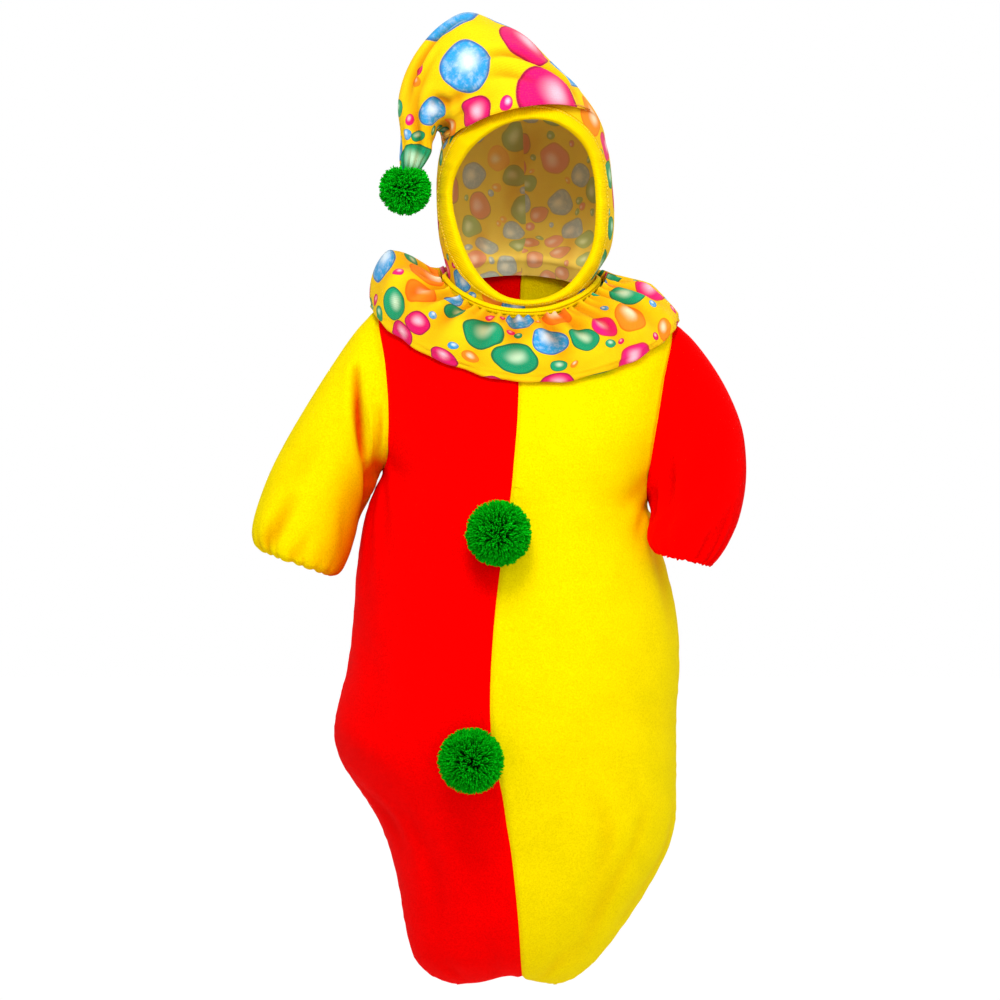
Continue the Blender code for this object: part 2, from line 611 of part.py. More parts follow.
def hood_front_depth():
    """A function that gives the hood's front surface, below the lip, at a place in the front view."""
    outer, _ = hood_wall()
    below = outer[: int(np.searchsorted(hood_rows(), CREASE_ROW)) + 1]
    faces = grid_faces(*below.shape[:2], closed=True, halved=True)
    tree = BVHTree.FromPolygons([Vector(p) for p in below.reshape(-1, 3)], faces)

    def surface_at(x, z):
        place, normal, _, _ = tree.ray_cast(Vector((x, -200, z)), Vector((0, 1, 0)))
        if place is None:
            place, normal, _, _ = tree.find_nearest(Vector((x, -20, z)))
        normal = normal if normal.y < 0 else -normal
        return np.array(place), np.array(normal)

    return surface_at


def make_face_binding(material):
    """The binding round the face: a strip that lies on the hood beside the opening's edge."""
    curve = closed_curve(OPENING_ROWS, BINDING_STEPS)
    surface_at = hood_front_depth()
    tangent = np.roll(curve[:, :2], -1, axis=0) - np.roll(curve[:, :2], 1, axis=0)
    tangent /= np.linalg.norm(tangent, axis=1, keepdims=True)
    away = np.stack([-tangent[:, 1], tangent[:, 0]], axis=1)
    lowest, highest = BINDING_LIFT, BINDING_LIFT + BINDING_THICKNESS
    section = ((0, lowest), (-0.04, highest), (0.35, highest), (0.7, highest), (0.98, highest), (1, lowest))
    section += ((0.67, lowest), (0.33, lowest))
    rings = []
    for place, side in zip(curve, away):
        ring = []
        for share, lift in section:
            x, z = place[:2] + side * share * place[2]
            point, normal = surface_at(x, z)
            ring.append(point + normal * lift)
        rings.append(ring)
    return ring_solid("face_binding", np.array(rings), material)


def ring_solid(name, rings, material):
    """A closed hoop from a loop of closed sections."""
    steps, around = rings.shape[:2]
    faces = []
    for i in range(steps):
        for j in range(around):
            k, m = (i + 1) % steps, (j + 1) % around
            faces.append((i * around + j, i * around + m, k * around + m, k * around + j))
    return face_outwards(make_solid(name, rings.reshape(-1, 3), faces, material))


def make_band(material):
    """The band that stands on the neckline inside the collar."""
    turns = np.linspace(0, 2 * math.pi, BAND_STEPS, endpoint=False)
    line = body_point(0.0, turns)
    middle = line.mean(axis=0)
    up = np.array([0, -math.sin(BAND_LEAN), math.cos(BAND_LEAN)])
    out = line - middle
    out -= np.outer(out @ up, up)
    out /= np.linalg.norm(out, axis=1, keepdims=True)
    section = np.array(BAND_SECTION)
    rings = line[:, None] + out[:, None] * section[None, :, :1] + up * section[None, :, 1:]
    return ring_solid("neck_band", rings, material)


def collar_wave(turn):
    """The collar's ruffle round the neck, from 0 in a gather to 1 on a ridge, unevenly spaced."""
    uneven = turn + 0.05 * np.sin(3 * turn + 0.7) + 0.03 * np.sin(7 * turn + 2.1)
    return (1 + np.cos(COLLAR_GATHERS * uneven)) / 2


def make_collar(material):
    """The collar: cloth doubled at its outer edge and gathered at the neck, open towards the neck."""
    turns = np.linspace(0, 2 * math.pi, COLLAR_STEPS, endpoint=False)
    table, at = columns_of(COLLAR_COLUMNS, COLLAR_ROWS)
    again = np.concatenate([table, table[:1] + [[1, 0, 0, 0]]])
    settings = {
        name: np.interp(turns / (2 * math.pi), again[:, at["turn"]], again[:, at[name]]) for name in COLLAR_COLUMNS[1:]
    }
    wave = collar_wave(turns)
    rings = []
    for place, turn in enumerate(turns):
        edge_row = settings["edge_row"][place]
        puff = settings["puff"][place]
        crest = settings["crest"][place]
        ripple = wave[place]

        def on_body(share, lift, beyond=0.0):
            row = COLLAR_START_ROW + (edge_row - COLLAR_START_ROW) * share
            point = body_point(row, turn)
            normal = body_normal(row, turn)
            down = body_point(row + 0.02, turn) - body_point(row - 0.02, turn)
            down = down / np.linalg.norm(down)
            return point + normal * lift + down * beyond

        def top_lift(share):
            bell = math.sin(math.pi * share ** (math.log(0.5) / math.log(crest))) ** 1.2 if 0 < share < 1 else 0.0
            gather = COLLAR_GATHER_DEPTH * ripple * (1 - share)
            ruffle = COLLAR_WAVE_DEPTH * ripple * share
            least = COLLAR_CLEARANCE + 2 * PRINT_THICKNESS + COLLAR_PLY_GAP
            return least + 2.5 * share + puff * bell + gather + ruffle

        base = COLLAR_CLEARANCE
        radius = COLLAR_FOLD_RADIUS
        inner_radius = radius - PRINT_THICKNESS
        fold_middle = base + radius
        top_shares = (0.0, 0.12, 0.32, 0.55, 0.78, 0.94)
        under_shares = (0.8, 0.5, 0.22, 0.0)
        ring = [on_body(s, top_lift(s)) for s in top_shares]
        ring.append(on_body(1.0, max(top_lift(1.0) * 0.72, fold_middle + radius * 0.8), radius * 0.35))
        ring.append(on_body(1.0, fold_middle, radius))
        ring += [on_body(s, base) for s in under_shares]
        ring += [on_body(s, base + PRINT_THICKNESS) for s in reversed(under_shares)]
        ring.append(on_body(1.0, fold_middle, inner_radius))
        ring += [on_body(s, top_lift(s) - PRINT_THICKNESS) for s in reversed(top_shares)]
        rings.append(ring)
    return ring_solid("collar", np.array(rings), material)


def make_pompom(name, middle, radius, material, seed, cloth=None, bare_above=None):
    """A ball of strands fused at a core: each core face is inset and drawn out. A cloth function
    gives how far the panel behind lies, and faces that point above a limit stay bare."""
    chance = np.random.default_rng(seed)
    work = bmesh.new()
    core = radius * POMPOM_CORE_SHARE
    bmesh.ops.create_icosphere(work, subdivisions=2, radius=core)
    roots = list(work.faces)
    bmesh.ops.inset_individual(work, faces=roots, thickness=core * 0.055, depth=0.0)
    for face in roots:
        way = face.calc_center_median().normalized()
        reach = radius * chance.uniform(0.93, 1.0)
        if bare_above is not None and way.z > bare_above:
            continue
        if cloth is not None:
            reach = min(reach, cloth(way, reach))
        centre = face.calc_center_median()
        for corner in face.verts:
            corner.co = way * reach + (corner.co - centre) * STRAND_TIP_SHARE
    for corner in work.verts:
        corner.co = (corner.co + Vector(middle)) * MM
    mesh = bpy.data.meshes.new(name)
    work.to_mesh(mesh)
    work.free()
    mesh.materials.append(material)
    thing = bpy.data.objects.new(name, mesh)
    bpy.context.scene.collection.objects.link(thing)
    return face_outwards(thing)


def make_front_pompom(name, place, material, seed):
    """A pompom sewn on the front: its strands stop just short of the cloth behind."""
    rows = np.linspace(SHOULDER_ROW, LAST_ROW - 1, 160)
    turns = np.linspace(LEFT_SIDE, RIGHT_SIDE, 120)
    row, turn = np.meshgrid(rows, turns, indexing="ij")
    points = body_point(row, turn)
    tree = BVHTree.FromPolygons([Vector(p) for p in points.reshape(-1, 3)], grid_faces(len(rows), len(turns)))
    x, z = place
    front, _, _, _ = tree.ray_cast(Vector((x, -300, z)), Vector((0, 1, 0)))
    middle = Vector((x, front.y - POMPOM_SINK * POMPOM_RADIUS, z))

    def reach_to_cloth(way, reach):
        tip_width = 2.0
        while reach > POMPOM_RADIUS * POMPOM_CORE_SHARE + 0.5:
            tip = middle + way * reach
            behind, _, _, _ = tree.ray_cast(Vector((tip.x, -300, tip.z)), Vector((0, 1, 0)))
            if behind is None or tip.y + tip_width * math.sqrt(1 - way.y**2) < behind.y - SEAM_GAP:
                return reach
            reach -= 0.25
        return reach

    return make_pompom(name, middle, POMPOM_RADIUS, material, seed, cloth=reach_to_cloth)


def main():
    clear_scene()
    red = make_material("red fleece", RED, 0.95)
    yellow = make_material("yellow fleece", YELLOW, 0.95)
    print_cloth = make_material("printed cloth", PRINT_YELLOW, 0.7)
    binding = make_material("yellow binding", BAND_YELLOW, 0.75)
    green = make_material("green yarn", GREEN, 0.95)
    make_panel("front_red", True, True, red)
    make_panel("front_yellow", True, False, yellow)
    make_panel("back_red", False, True, red)
    make_panel("back_yellow", False, False, yellow)
    make_sleeve("sleeve_yellow", YELLOW_SLEEVE_ROWS, YELLOW_SLEEVE_FOLDS, True, yellow)
    make_sleeve("sleeve_red", RED_SLEEVE_ROWS, RED_SLEEVE_FOLDS, False, red)
    make_collar(print_cloth)
    make_band(binding)
    make_hood(print_cloth)
    make_face_binding(binding)
    make_front_pompom("pompom_chest", CHEST_POMPOM, green, 11)
    make_front_pompom("pompom_knee", KNEE_POMPOM, green, 12)
    make_pompom("pompom_hood", HOOD_POMPOM, HOOD_POMPOM_RADIUS, green, 13, bare_above=0.8)


main()
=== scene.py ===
# The clown costume as it is seen: fleece sack and sleeves, gathered printed collar, printed hood
# with its flopped point, knit band and binding, and yarn pompoms. Sizes in tables are millimetres.
import math

import bpy
import numpy as np
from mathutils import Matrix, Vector
from mathutils.bvhtree import BVHTree


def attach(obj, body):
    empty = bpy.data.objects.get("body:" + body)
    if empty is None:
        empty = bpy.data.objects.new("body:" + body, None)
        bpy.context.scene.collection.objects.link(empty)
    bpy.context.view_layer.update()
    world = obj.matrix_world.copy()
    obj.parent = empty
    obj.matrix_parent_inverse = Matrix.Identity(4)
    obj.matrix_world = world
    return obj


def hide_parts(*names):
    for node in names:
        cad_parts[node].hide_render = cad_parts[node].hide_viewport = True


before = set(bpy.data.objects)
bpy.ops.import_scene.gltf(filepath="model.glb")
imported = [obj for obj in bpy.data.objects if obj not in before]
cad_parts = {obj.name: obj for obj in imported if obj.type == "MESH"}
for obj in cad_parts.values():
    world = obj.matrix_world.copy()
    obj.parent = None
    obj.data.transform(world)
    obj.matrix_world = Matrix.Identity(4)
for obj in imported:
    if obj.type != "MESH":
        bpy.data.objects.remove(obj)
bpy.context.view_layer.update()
mm = 0.001
fullTurn = 2 * math.pi
print("frame loaded")


# Shader helpers
class Wire:
    # wraps a socket, so that sums and products add Math nodes
    def __init__(self, finish, socket):
        self.finish = finish
        self.socket = socket

    def maths(self, operation, other, swapped=False):
        first, second = (other, self) if swapped else (self, other)
        return self.finish.node("ShaderNodeMath", {"operation": operation}, {0: first, 1: second})

    def __add__(self, other):
        return self.maths("ADD", other)

    def __radd__(self, other):
        return self.maths("ADD", other, True)

    def __sub__(self, other):
        return self.maths("SUBTRACT", other)

    def __rsub__(self, other):
        return self.maths("SUBTRACT", other, True)

    def __mul__(self, other):
        return self.maths("MULTIPLY", other)

    def __rmul__(self, other):
        return self.maths("MULTIPLY", other, True)

    def __truediv__(self, other):
        return self.maths("DIVIDE", other)

    def __lt__(self, other):
        return self.maths("LESS_THAN", other)

    def __gt__(self, other):
        return self.maths("GREATER_THAN", other)


class Nodes:
    # adds nodes to a material or to the world
    def __init__(self, tree):
        self.tree = tree

    def node(self, kind, settings=None, sockets=None, out=0):
        made = self.tree.nodes.new(kind)
        for name, value in (settings or {}).items():
            if name == "stops":
                ramp = made.color_ramp
                while len(ramp.elements) < len(value):
                    ramp.elements.new(0.5)
                for element, (place, colour) in zip(ramp.elements, value):
                    element.position = place
                    element.color = (*colour, 1.0)
            elif name == "interpolation":
                made.color_ramp.interpolation = value
            else:
                setattr(made, name, value)
        for name, value in (sockets or {}).items():
            if isinstance(value, Wire):
                self.tree.links.new(value.socket, made.inputs[name])
            else:
                made.inputs[name].default_value = value
        return Wire(self, made.outputs[out])


class Finish(Nodes):
    # one material, with a Principled shader whose constants sit on its own sockets
    def __init__(self, name, settings):
        self.material = bpy.data.materials.new(name)
        self.material.use_nodes = True
        super().__init__(self.material.node_tree)
        self.shader = self.tree.nodes["Principled BSDF"]
        for socket, value in settings.items():
            self.shader.inputs[socket].default_value = value

    def between(self, value, low, high, fromLow, fromHigh):
        # a soft step from low to high as value goes from fromLow to fromHigh
        span = {"Value": value, "From Min": fromLow, "From Max": fromHigh, "To Min": low, "To Max": high}
        return self.node("ShaderNodeMapRange", {"interpolation_type": "SMOOTHSTEP"}, span)

    def mix(self, share, colourA, colourB, kind="MIX"):
        def full(colour):
            return colour if isinstance(colour, Wire) else (*colour, 1.0)

        settings = {"data_type": "RGBA", "blend_type": kind}
        return self.node("ShaderNodeMix", settings, {0: share, 6: full(colourA), 7: full(colourB)}, out=2)

    def vector(self, operation, first, second):
        return self.node("ShaderNodeVectorMath", {"operation": operation}, {0: first, 1: second})

    def noise(self, place, scale, detail=2.0, roughness=0.5, out=0):
        sockets = {"Vector": place, "Scale": scale, "Detail": detail, "Roughness": roughness}
        return self.node("ShaderNodeTexNoise", {"noise_dimensions": "3D"}, sockets, out=out)

    def objectPlace(self):
        return self.node("ShaderNodeTexCoord", None, None, out=3)

    def clothPlace(self):
        return self.node("ShaderNodeTexCoord", None, None, out=2)

    def withPaintedShade(self, colour, shade):
        # paints shade into the colour, as far as the mesh's shade attribute asks, where folds, creases, gaps
        # and hollows would lie in shadow
        trough = self.node("ShaderNodeAttribute", {"attribute_name": "trough"}, None, out=2)
        return self.mix(trough, colour, self.mix(1.0, colour, shade, "MULTIPLY"))

    def feed(self, socket, value):
        self.tree.links.new(value.socket, self.shader.inputs[socket])

    def bump(self, height, depth, strength=1.0):
        sockets = {"Height": height, "Distance": depth, "Strength": strength}
        self.feed("Normal", self.node("ShaderNodeBump", None, sockets))


# Fleece: brushed nap in short tufts, with a faint mottle where it has been stroked
fleeceLook = {
    "red": {
        "deep": (0.82, 0.0, 0.0),
        "base": (0.96, 0.0, 0.0),
        "tip": (0.99, 0.0, 0.0),
        "sheen": (1.0, 0.0, 0.0, 1.0),
        "foldShade": (0.62, 1.0, 1.0),
    },
    "yellow": {
        "deep": (0.80, 0.60, 0.0),
        "base": (0.91, 0.71, 0.0),
        "tip": (0.95, 0.78, 0.0),
        "sheen": (1.0, 0.85, 0.0, 1.0),
        "foldShade": (0.72, 0.07, 1.0),
    },
    "tuftScale": 760.0,
    "napScale": 1900.0,
    "mottleScale": 38.0,
    "driftScale": 90.0,
    "drift": 0.004,
    "bumpDepth": 0.0008,
}


def fleeceFinish(name, look):
    constants = {
        "Roughness": 0.95,
        "Specular IOR Level": 0.06,
        "Specular Tint": look["sheen"],
        "Sheen Weight": 0.18,
        "Sheen Roughness": 0.45,
        "Sheen Tint": look["sheen"],
    }
    made = Finish(name, constants)
    place = made.objectPlace()
    drift = made.noise(place, fleeceLook["driftScale"], 1.0, out=1)
    brushed = made.vector("ADD", place, made.vector("MULTIPLY", drift, (fleeceLook["drift"],) * 3))
    tufts = made.noise(brushed, fleeceLook["tuftScale"], 3.0, 0.6)
    nap = made.noise(brushed, fleeceLook["napScale"], 2.0, 0.6)
    mottle = made.noise(place, fleeceLook["mottleScale"], 3.0, 0.55)
    height = tufts * 0.65 + nap * 0.35
    colour = made.mix(made.between(height, 0.0, 1.0, 0.34, 0.56), look["deep"], look["base"])
    colour = made.mix(made.between(height, 0.0, 0.75, 0.5, 0.68), colour, look["tip"])
    shade = made.between(mottle, 0.965, 1.0, 0.36, 0.6)
    grey = made.node("ShaderNodeCombineColor", None, {0: shade, 1: shade, 2: shade})
    colour = made.mix(1.0, colour, grey, "MULTIPLY")
    made.feed("Base Color", made.withPaintedShade(colour, look["foldShade"]))
    made.feed("Roughness", made.between(height, 0.98, 0.82, 0.3, 0.7))
    made.bump(height, fleeceLook["bumpDepth"])
    return made.material


# Printed jersey: loose bubbles on golden yellow, in two sizes over one another
printLook = {
    "ground": (0.93, 0.60, 0.004),
    "groundDeep": (0.89, 0.50, 0.002),
    "large": {"scale": 33.0, "jitter": 0.56, "seed": 12.1, "smallest": 0.34, "largest": 0.56, "kept": 0.98},
    "small": {"scale": 74.0, "jitter": 0.7, "seed": 5.3, "smallest": 0.2, "largest": 0.46, "kept": 0.95},
    "toneScale": 30.0,
    "turn": 0.6,
    "wobble": 0.0095,
    "wobbleScale": 42.0,
    # each kind of bubble: where its share of the draw starts, its colour, its pale middle and its rim
    "kinds": (
        (0.0, (0.0, 0.32, 0.15), (0.62, 0.90, 0.62), (0.0, 0.12, 0.035)),
        (0.2, (0.76, 0.003, 0.15), (0.99, 0.58, 0.70), (0.25, 0.0, 0.04)),
        (0.4, (0.94, 0.26, 0.015), (1.0, 0.84, 0.56), (0.88, 0.17, 0.004)),
        (0.6, (0.02, 0.32, 0.68), (0.78, 0.90, 0.98), (0.02, 0.10, 0.34)),
        (0.8, (0.82, 0.006, 0.20), (0.99, 0.62, 0.74), (0.62, 0.03, 0.02)),
        (0.93, (0.0, 0.36, 0.17), (0.66, 0.92, 0.66), (0.0, 0.14, 0.05)),
    ),
    "blue": (0.60, 0.80),
    "cloud": (0.80, 0.84, 0.93),
    "cloudScale": 260.0,
    "glint": (-0.05, 0.07),
    "thread": (0.4, 0.16, 0.0),
    "threadScale": 1500.0,
    "ribScale": 300.0,
    "reverse": (0.95, 0.74, 0.2),
    "foldShade": (0.74, 0.45, 0.3),
    "bumpDepth": 0.0004,
}


def bubbleCells(made, moved, layer):
    # each cell holds one bubble, no larger than the room round its middle
    cells = {"Vector": moved, "Scale": layer["scale"], "Randomness": layer["jitter"]}
    centre = made.node("ShaderNodeTexVoronoi", {"feature": "F1", "voronoi_dimensions": "2D"}, cells)
    nearest = {"feature": "N_SPHERE_RADIUS", "voronoi_dimensions": "2D"}
    room = made.node("ShaderNodeTexVoronoi", nearest, cells, out="Radius")
    chance = Wire(made, centre.socket.node.outputs["Color"])
    split = made.node("ShaderNodeSeparateColor", None, {0: chance})
    pick, size, there = (Wire(made, split.socket.node.outputs[i]) for i in range(3))
    wanted = made.between(size, layer["smallest"], layer["largest"], 0.0, 1.0)
    radius = wanted.maths("MINIMUM", room * 1.04)
    spot = Wire(made, centre.socket.node.outputs["Position"])
    return centre, radius, pick, there < layer["kept"], spot


def bubbleTone(made, pick, tone):
    stops = [(kind[0], kind[tone]) for kind in printLook["kinds"]]
    return made.node("ShaderNodeValToRGB", {"stops": stops, "interpolation": "CONSTANT"}, {0: pick})


def bubbleLayer(made, place, layer, above=None):
    # gives one layer's colour and its cover
    moved = made.vector("ADD", place, (layer["seed"], layer["seed"] * 0.37, 0.0))
    away, radius, pick, present, spot = bubbleCells(made, moved, layer)
    if above is not None:
        shift = above["seed"] - layer["seed"]
        spotThere = made.vector("ADD", spot, (shift, shift * 0.37, 0.0))
        awayThere, radiusThere, _, presentThere, _ = bubbleCells(made, spotThere, above)
        ratio = above["scale"] / layer["scale"]
        covered = (awayThere < radiusThere + radius * ratio + 0.02) * presentThere
        present = present * (1 - covered)
    out = away / radius
    cover = made.between(out, 1.0, 0.0, 0.965, 1.015) * present
    body, pale, rim = (bubbleTone(made, pick, tone) for tone in (1, 2, 3))
    scale = layer["scale"]
    lit = made.vector("ADD", spot, (printLook["glint"][0] / scale, printLook["glint"][1] / scale, 0.0))
    fromLit = made.node("ShaderNodeVectorMath", {"operation": "DISTANCE"}, {0: moved, 1: lit}, out=1)
    glow = made.between(fromLit * scale / radius, 0.86, 0.0, 0.02, 0.66)
    colour = made.mix(glow, body, pale)
    clouds = made.noise(moved, printLook["cloudScale"], 3.0, 0.65)
    isBlue = (pick > printLook["blue"][0]) * (pick < printLook["blue"][1])
    colour = made.mix(made.between(clouds, 0.0, 0.34, 0.42, 0.7) * isBlue, colour, printLook["cloud"])
    colour = made.mix(made.between(out, 0.0, 0.85, 0.84, 0.97), colour, rim)
    return colour, cover


def printFinish(name, reverse=False):
    constants = {
        "Roughness": 0.8,
        "Specular IOR Level": 0.12,
        "Sheen Weight": 0.12,
        "Sheen Roughness": 0.5,
        "Sheen Tint": (1.0, 0.75, 0.1, 1.0),
        "Specular Tint": (1.0, 0.8, 0.3, 1.0),
    }
    made = Finish(name, constants)
    turned = {"Vector": made.clothPlace(), "Rotation": (0.0, 0.0, printLook["turn"])}
    place = made.node("ShaderNodeMapping", None, turned)
    wobble = made.noise(place, printLook["wobbleScale"], 1.0, 0.5, out=1)
    centred = made.vector("SUBTRACT", wobble, (0.5, 0.5, 0.5))
    offset = made.vector("MULTIPLY", centred, (printLook["wobble"], printLook["wobble"], 0.0))
    flat = made.vector("MULTIPLY", made.vector("ADD", place, offset), (1.0, 1.0, 0.0))
    tone = made.noise(place, printLook["toneScale"], 3.0, 0.6)
    colour = made.mix(made.between(tone, 0.0, 0.8, 0.4, 0.66), printLook["ground"], printLook["groundDeep"])
    for layer, above in (("small", printLook["large"]), ("large", None)):
        bubbles, cover = bubbleLayer(made, flat, printLook[layer], above)
        colour = made.mix(cover, colour, bubbles)
    if reverse:
        colour = made.mix(0.5, colour, printLook["reverse"])
    threads = made.noise(place, printLook["threadScale"], 2.0, 0.6)
    colour = made.mix(made.between(threads, 0.1, 0.0, 0.36, 0.52), colour, printLook["thread"])
    made.feed("Base Color", made.withPaintedShade(colour, printLook["foldShade"]))
    ribbing = {"Vector": place, "Scale": printLook["ribScale"], "Distortion": 1.2}
    ribs = made.node("ShaderNodeTexWave", {"bands_direction": "X"}, ribbing)
    height = ribs * 0.35 + threads * 0.65
    made.feed("Roughness", made.between(height, 0.9, 0.72, 0.3, 0.7))
    made.bump(height, printLook["bumpDepth"])
    return made.material


# Knit rib for the band and the binding, and the thread that holds them
knitLook = {
    "base": (0.98, 0.69, 0.0),
    "groove": (0.84, 0.50, 0.0),
    "ribsPerMetre": 780.0,
    "wanderScale": 120.0,
    "wander": 5.0,
    "fuzzScale": 1700.0,
    "foldShade": (0.56, 0.28, 0.1),
    "bumpDepth": 0.00045,
    "thread": (0.90, 0.66, 0.03),
    "twistScale": 2600.0,
    "twistDepth": 0.0002,
}


def knitFinish(name):
    constants = {
        "Roughness": 0.85,
        "Specular IOR Level": 0.1,
        "Specular Tint": (1.0, 0.75, 0.1, 1.0),
        "Sheen Weight": 0.1,
        "Sheen Tint": (1.0, 0.75, 0.0, 1.0),
    }
    made = Finish(name, constants)
    place = made.clothPlace()
    wander = made.noise(place, knitLook["wanderScale"], 2.0)
    along = made.node("ShaderNodeSeparateXYZ", None, {0: place})
    swing = along * knitLook["ribsPerMetre"] * fullTurn + wander * knitLook["wander"]
    ribs = made.node("ShaderNodeMath", {"operation": "SINE"}, {0: swing})
    fuzz = made.noise(place, knitLook["fuzzScale"], 2.0, 0.6)
    height = ribs * 0.28 + fuzz * 0.6
    colour = made.mix(made.between(height, 0.55, 0.0, 0.0, 0.42), knitLook["base"], knitLook["groove"])
    made.feed("Base Color", made.withPaintedShade(colour, knitLook["foldShade"]))
    made.feed("Roughness", made.between(fuzz, 0.9, 0.75, 0.3, 0.7))
    made.bump(height, knitLook["bumpDepth"])
    return made.material


def threadFinish(name):
    made = Finish(name, {"Roughness": 0.6, "Specular IOR Level": 0.3, "Sheen Weight": 0.2})
    twist = made.noise(made.objectPlace(), knitLook["twistScale"], 1.0)
    dark = made.between(twist, 0.0, 0.6, 0.4, 0.6)
    made.feed("Base Color", made.mix(dark, knitLook["thread"], knitLook["groove"]))
    made.bump(twist, knitLook["twistDepth"])
    return made.material


# Pompom yarn: each strand is painted darker towards its root, a painted shade for the inside of the pompom
yarnLook = {
    # near-black green: painted shade at the strands' roots, also used for the dark streaks of the yarn's twist
    "root": (0.0, 0.015, 0.0),
    "base": (0.001, 0.40, 0.004),
    "tip": (0.002, 0.70, 0.01),
    "twistScale": 2300.0,
    "bumpDepth": 0.0005,
}


def yarnFinish(name):
    constants = {
        "Roughness": 0.9,
        "Specular IOR Level": 0.06,
        "Specular Tint": (0.0, 1.0, 0.0, 1.0),
        "Sheen Weight": 0.12,
        "Sheen Tint": (0.0, 1.0, 0.0, 1.0),
    }
    made = Finish(name, constants)
    place = made.objectPlace()
    tip = made.node("ShaderNodeAttribute", {"attribute_name": "tip"}, None, out=2)
    tone = made.node("ShaderNodeAttribute", {"attribute_name": "tone"}, None, out=2)
    twist = made.noise(place, yarnLook["twistScale"], 2.0, 0.6)
    # painted shade from the root out along each strand
    colour = made.mix(made.between(tip, 0.0, 1.0, 0.5, 0.93), yarnLook["root"], yarnLook["base"])
    colour = made.mix(made.between(tip + tone * 0.5, 0.0, 1.0, 1.0, 1.45), colour, yarnLook["tip"])
    colour = made.mix(made.between(twist, 0.4, 0.0, 0.35, 0.55), colour, yarnLook["root"])
    made.feed("Base Color", colour)
    made.feed("Roughness", made.between(twist, 0.95, 0.8, 0.3, 0.7))
    made.bump(twist, yarnLook["bumpDepth"])
    return made.material


sewingThread = threadFinish("yellow sewing thread")
slotCloths = {
    "red_fleece": [fleeceFinish("red fleece cloth", fleeceLook["red"])],
    "yellow_fleece": [fleeceFinish("yellow fleece cloth", fleeceLook["yellow"])],
    "printed_cloth": [printFinish("printed jersey"), printFinish("printed jersey reverse", reverse=True)],
    "yellow_binding": [knitFinish("yellow rib knit")],
    "green_yarn": [yarnFinish("green pompom yarn")],
}
print("finishes made")


# Smooth curves and surfaces through tables of sections
def hump(values, middle, width):
    # a soft hump of height 1
    return np.exp(-(((values - middle) / width) ** 2))


def ease(values, low, high):
    share = np.clip((values - low) / (high - low), 0, 1)
    return share * share * (3 - 2 * share)


def unit(ways):
    return ways / np.maximum(np.linalg.norm(ways, axis=-1, keepdims=True), 1e-9)


def offMiddle(degrees, middle):
    return (degrees - middle + 180) % 360 - 180


def evened(values):
    # a closed row of values, each blended with its two neighbours
    return (np.roll(values, 1, axis=0) + 2 * values + np.roll(values, -1, axis=0)) / 4


def runningLength(points, axis=0):
    # how far each point lies along its line
    steps = np.linalg.norm(np.diff(points, axis=axis), axis=-1)
    start = np.zeros_like(np.take(steps, [0], axis=axis))
    return np.concatenate([start, np.cumsum(steps, axis=axis)], axis=axis)


def curveThrough(four, share):
    # goes from the second of four rows to the third, in line with the first and the last
    before, here, after, beyond = four
    bend = (2 * before - 5 * here + 4 * after - beyond) * share**2
    twist = (3 * here - before - 3 * after + beyond) * share**3
    return 0.5 * (2 * here + (after - before) * share + bend + twist)


def smoothBetween(values, where, closed=False):
    values = np.asarray(values, float)
    where = np.asarray(where, float)
    count = len(values)
    start = np.floor(where).astype(int)
    start = start if closed else np.clip(start, 0, count - 2)
    share = (where - start).reshape(where.shape + (1,) * (values.ndim - 1))
    places = [start + step for step in range(-1, 3)]
    return curveThrough([values[p % count if closed else np.clip(p, 0, count - 1)] for p in places], share)


def surfaceNormals(pointAt, row, turn, step=0.01):
    across = pointAt(row, turn + step) - pointAt(row, turn - step)
    along = pointAt(row + step, turn) - pointAt(row - step, turn)
    return unit(np.cross(across, along))


def ringNormals(points):
    # normals of a grid whose last column lies on its first
    ring = np.concatenate([points[:, -3:-1], points, points[:, 1:3]], axis=1)
    return unit(np.cross(np.gradient(ring, axis=1)[:, 2:-2], np.gradient(points, axis=0)))


def outwardNormals(points):
    normals = ringNormals(points)
    middle = points.mean(axis=1, keepdims=True)
    return normals * np.sign(np.sum(normals * (points - middle), axis=-1).mean())


def ovalPoint(section, at, turn, power):
    # a ring between a section's left and right ends, with a reach and a rise to the front and back
    part = {name: section[..., place] for name, place in at.items()}
    share, sine = (1 + np.cos(turn)) / 2, np.sin(turn)
    toFront = sine < 0
    x = part["leftX"] * (1 - share) + part["rightX"] * share
    z = part["leftZ"] * (1 - share) + part["rightZ"] * share
    reach = np.where(toFront, part["front"], part["back"])
    rise = np.where(toFront, part["frontRise"], part["backRise"])
    return np.stack([x, part.get("middleY", 0.0) + reach * sine, z + rise * np.abs(sine) ** power], axis=-1)


def creaseHeight(points, pointAt, creases):
    # each crease runs from one row and turn to another, bowed sideways, and fades at its ends
    height = np.zeros(points.shape[:-1])
    share = np.linspace(0, 1, 15)
    for rowA, degreesA, rowB, degreesB, bow, depth, width in creases:
        degrees = degreesA + (degreesB - degreesA) * share + bow * np.sin(math.pi * share)
        line = pointAt(rowA + (rowB - rowA) * share, np.radians(degrees))
        nearest = np.full(height.shape, 1e9)
        taken = np.zeros(height.shape)
        for k, run in enumerate(np.diff(line, axis=0)):
            part = np.clip(((points - line[k]) @ run) / (run @ run), 0, 1)
            away = np.linalg.norm(points - line[k] - part[..., None] * run, axis=-1)
            closer = away < nearest
            nearest = np.where(closer, away, nearest)
            taken = np.where(closer, (k + part) / (len(line) - 1), taken)
        fade = np.sin(math.pi * (0.12 + 0.76 * taken)) ** 1.2
        spread = width * (0.75 + 0.5 * taken)
        rim = 0.3 * hump(nearest, 2.1 * spread, 1.1 * spread)
        height += depth * fade * (hump(nearest, 0, spread) - rim)
    return height


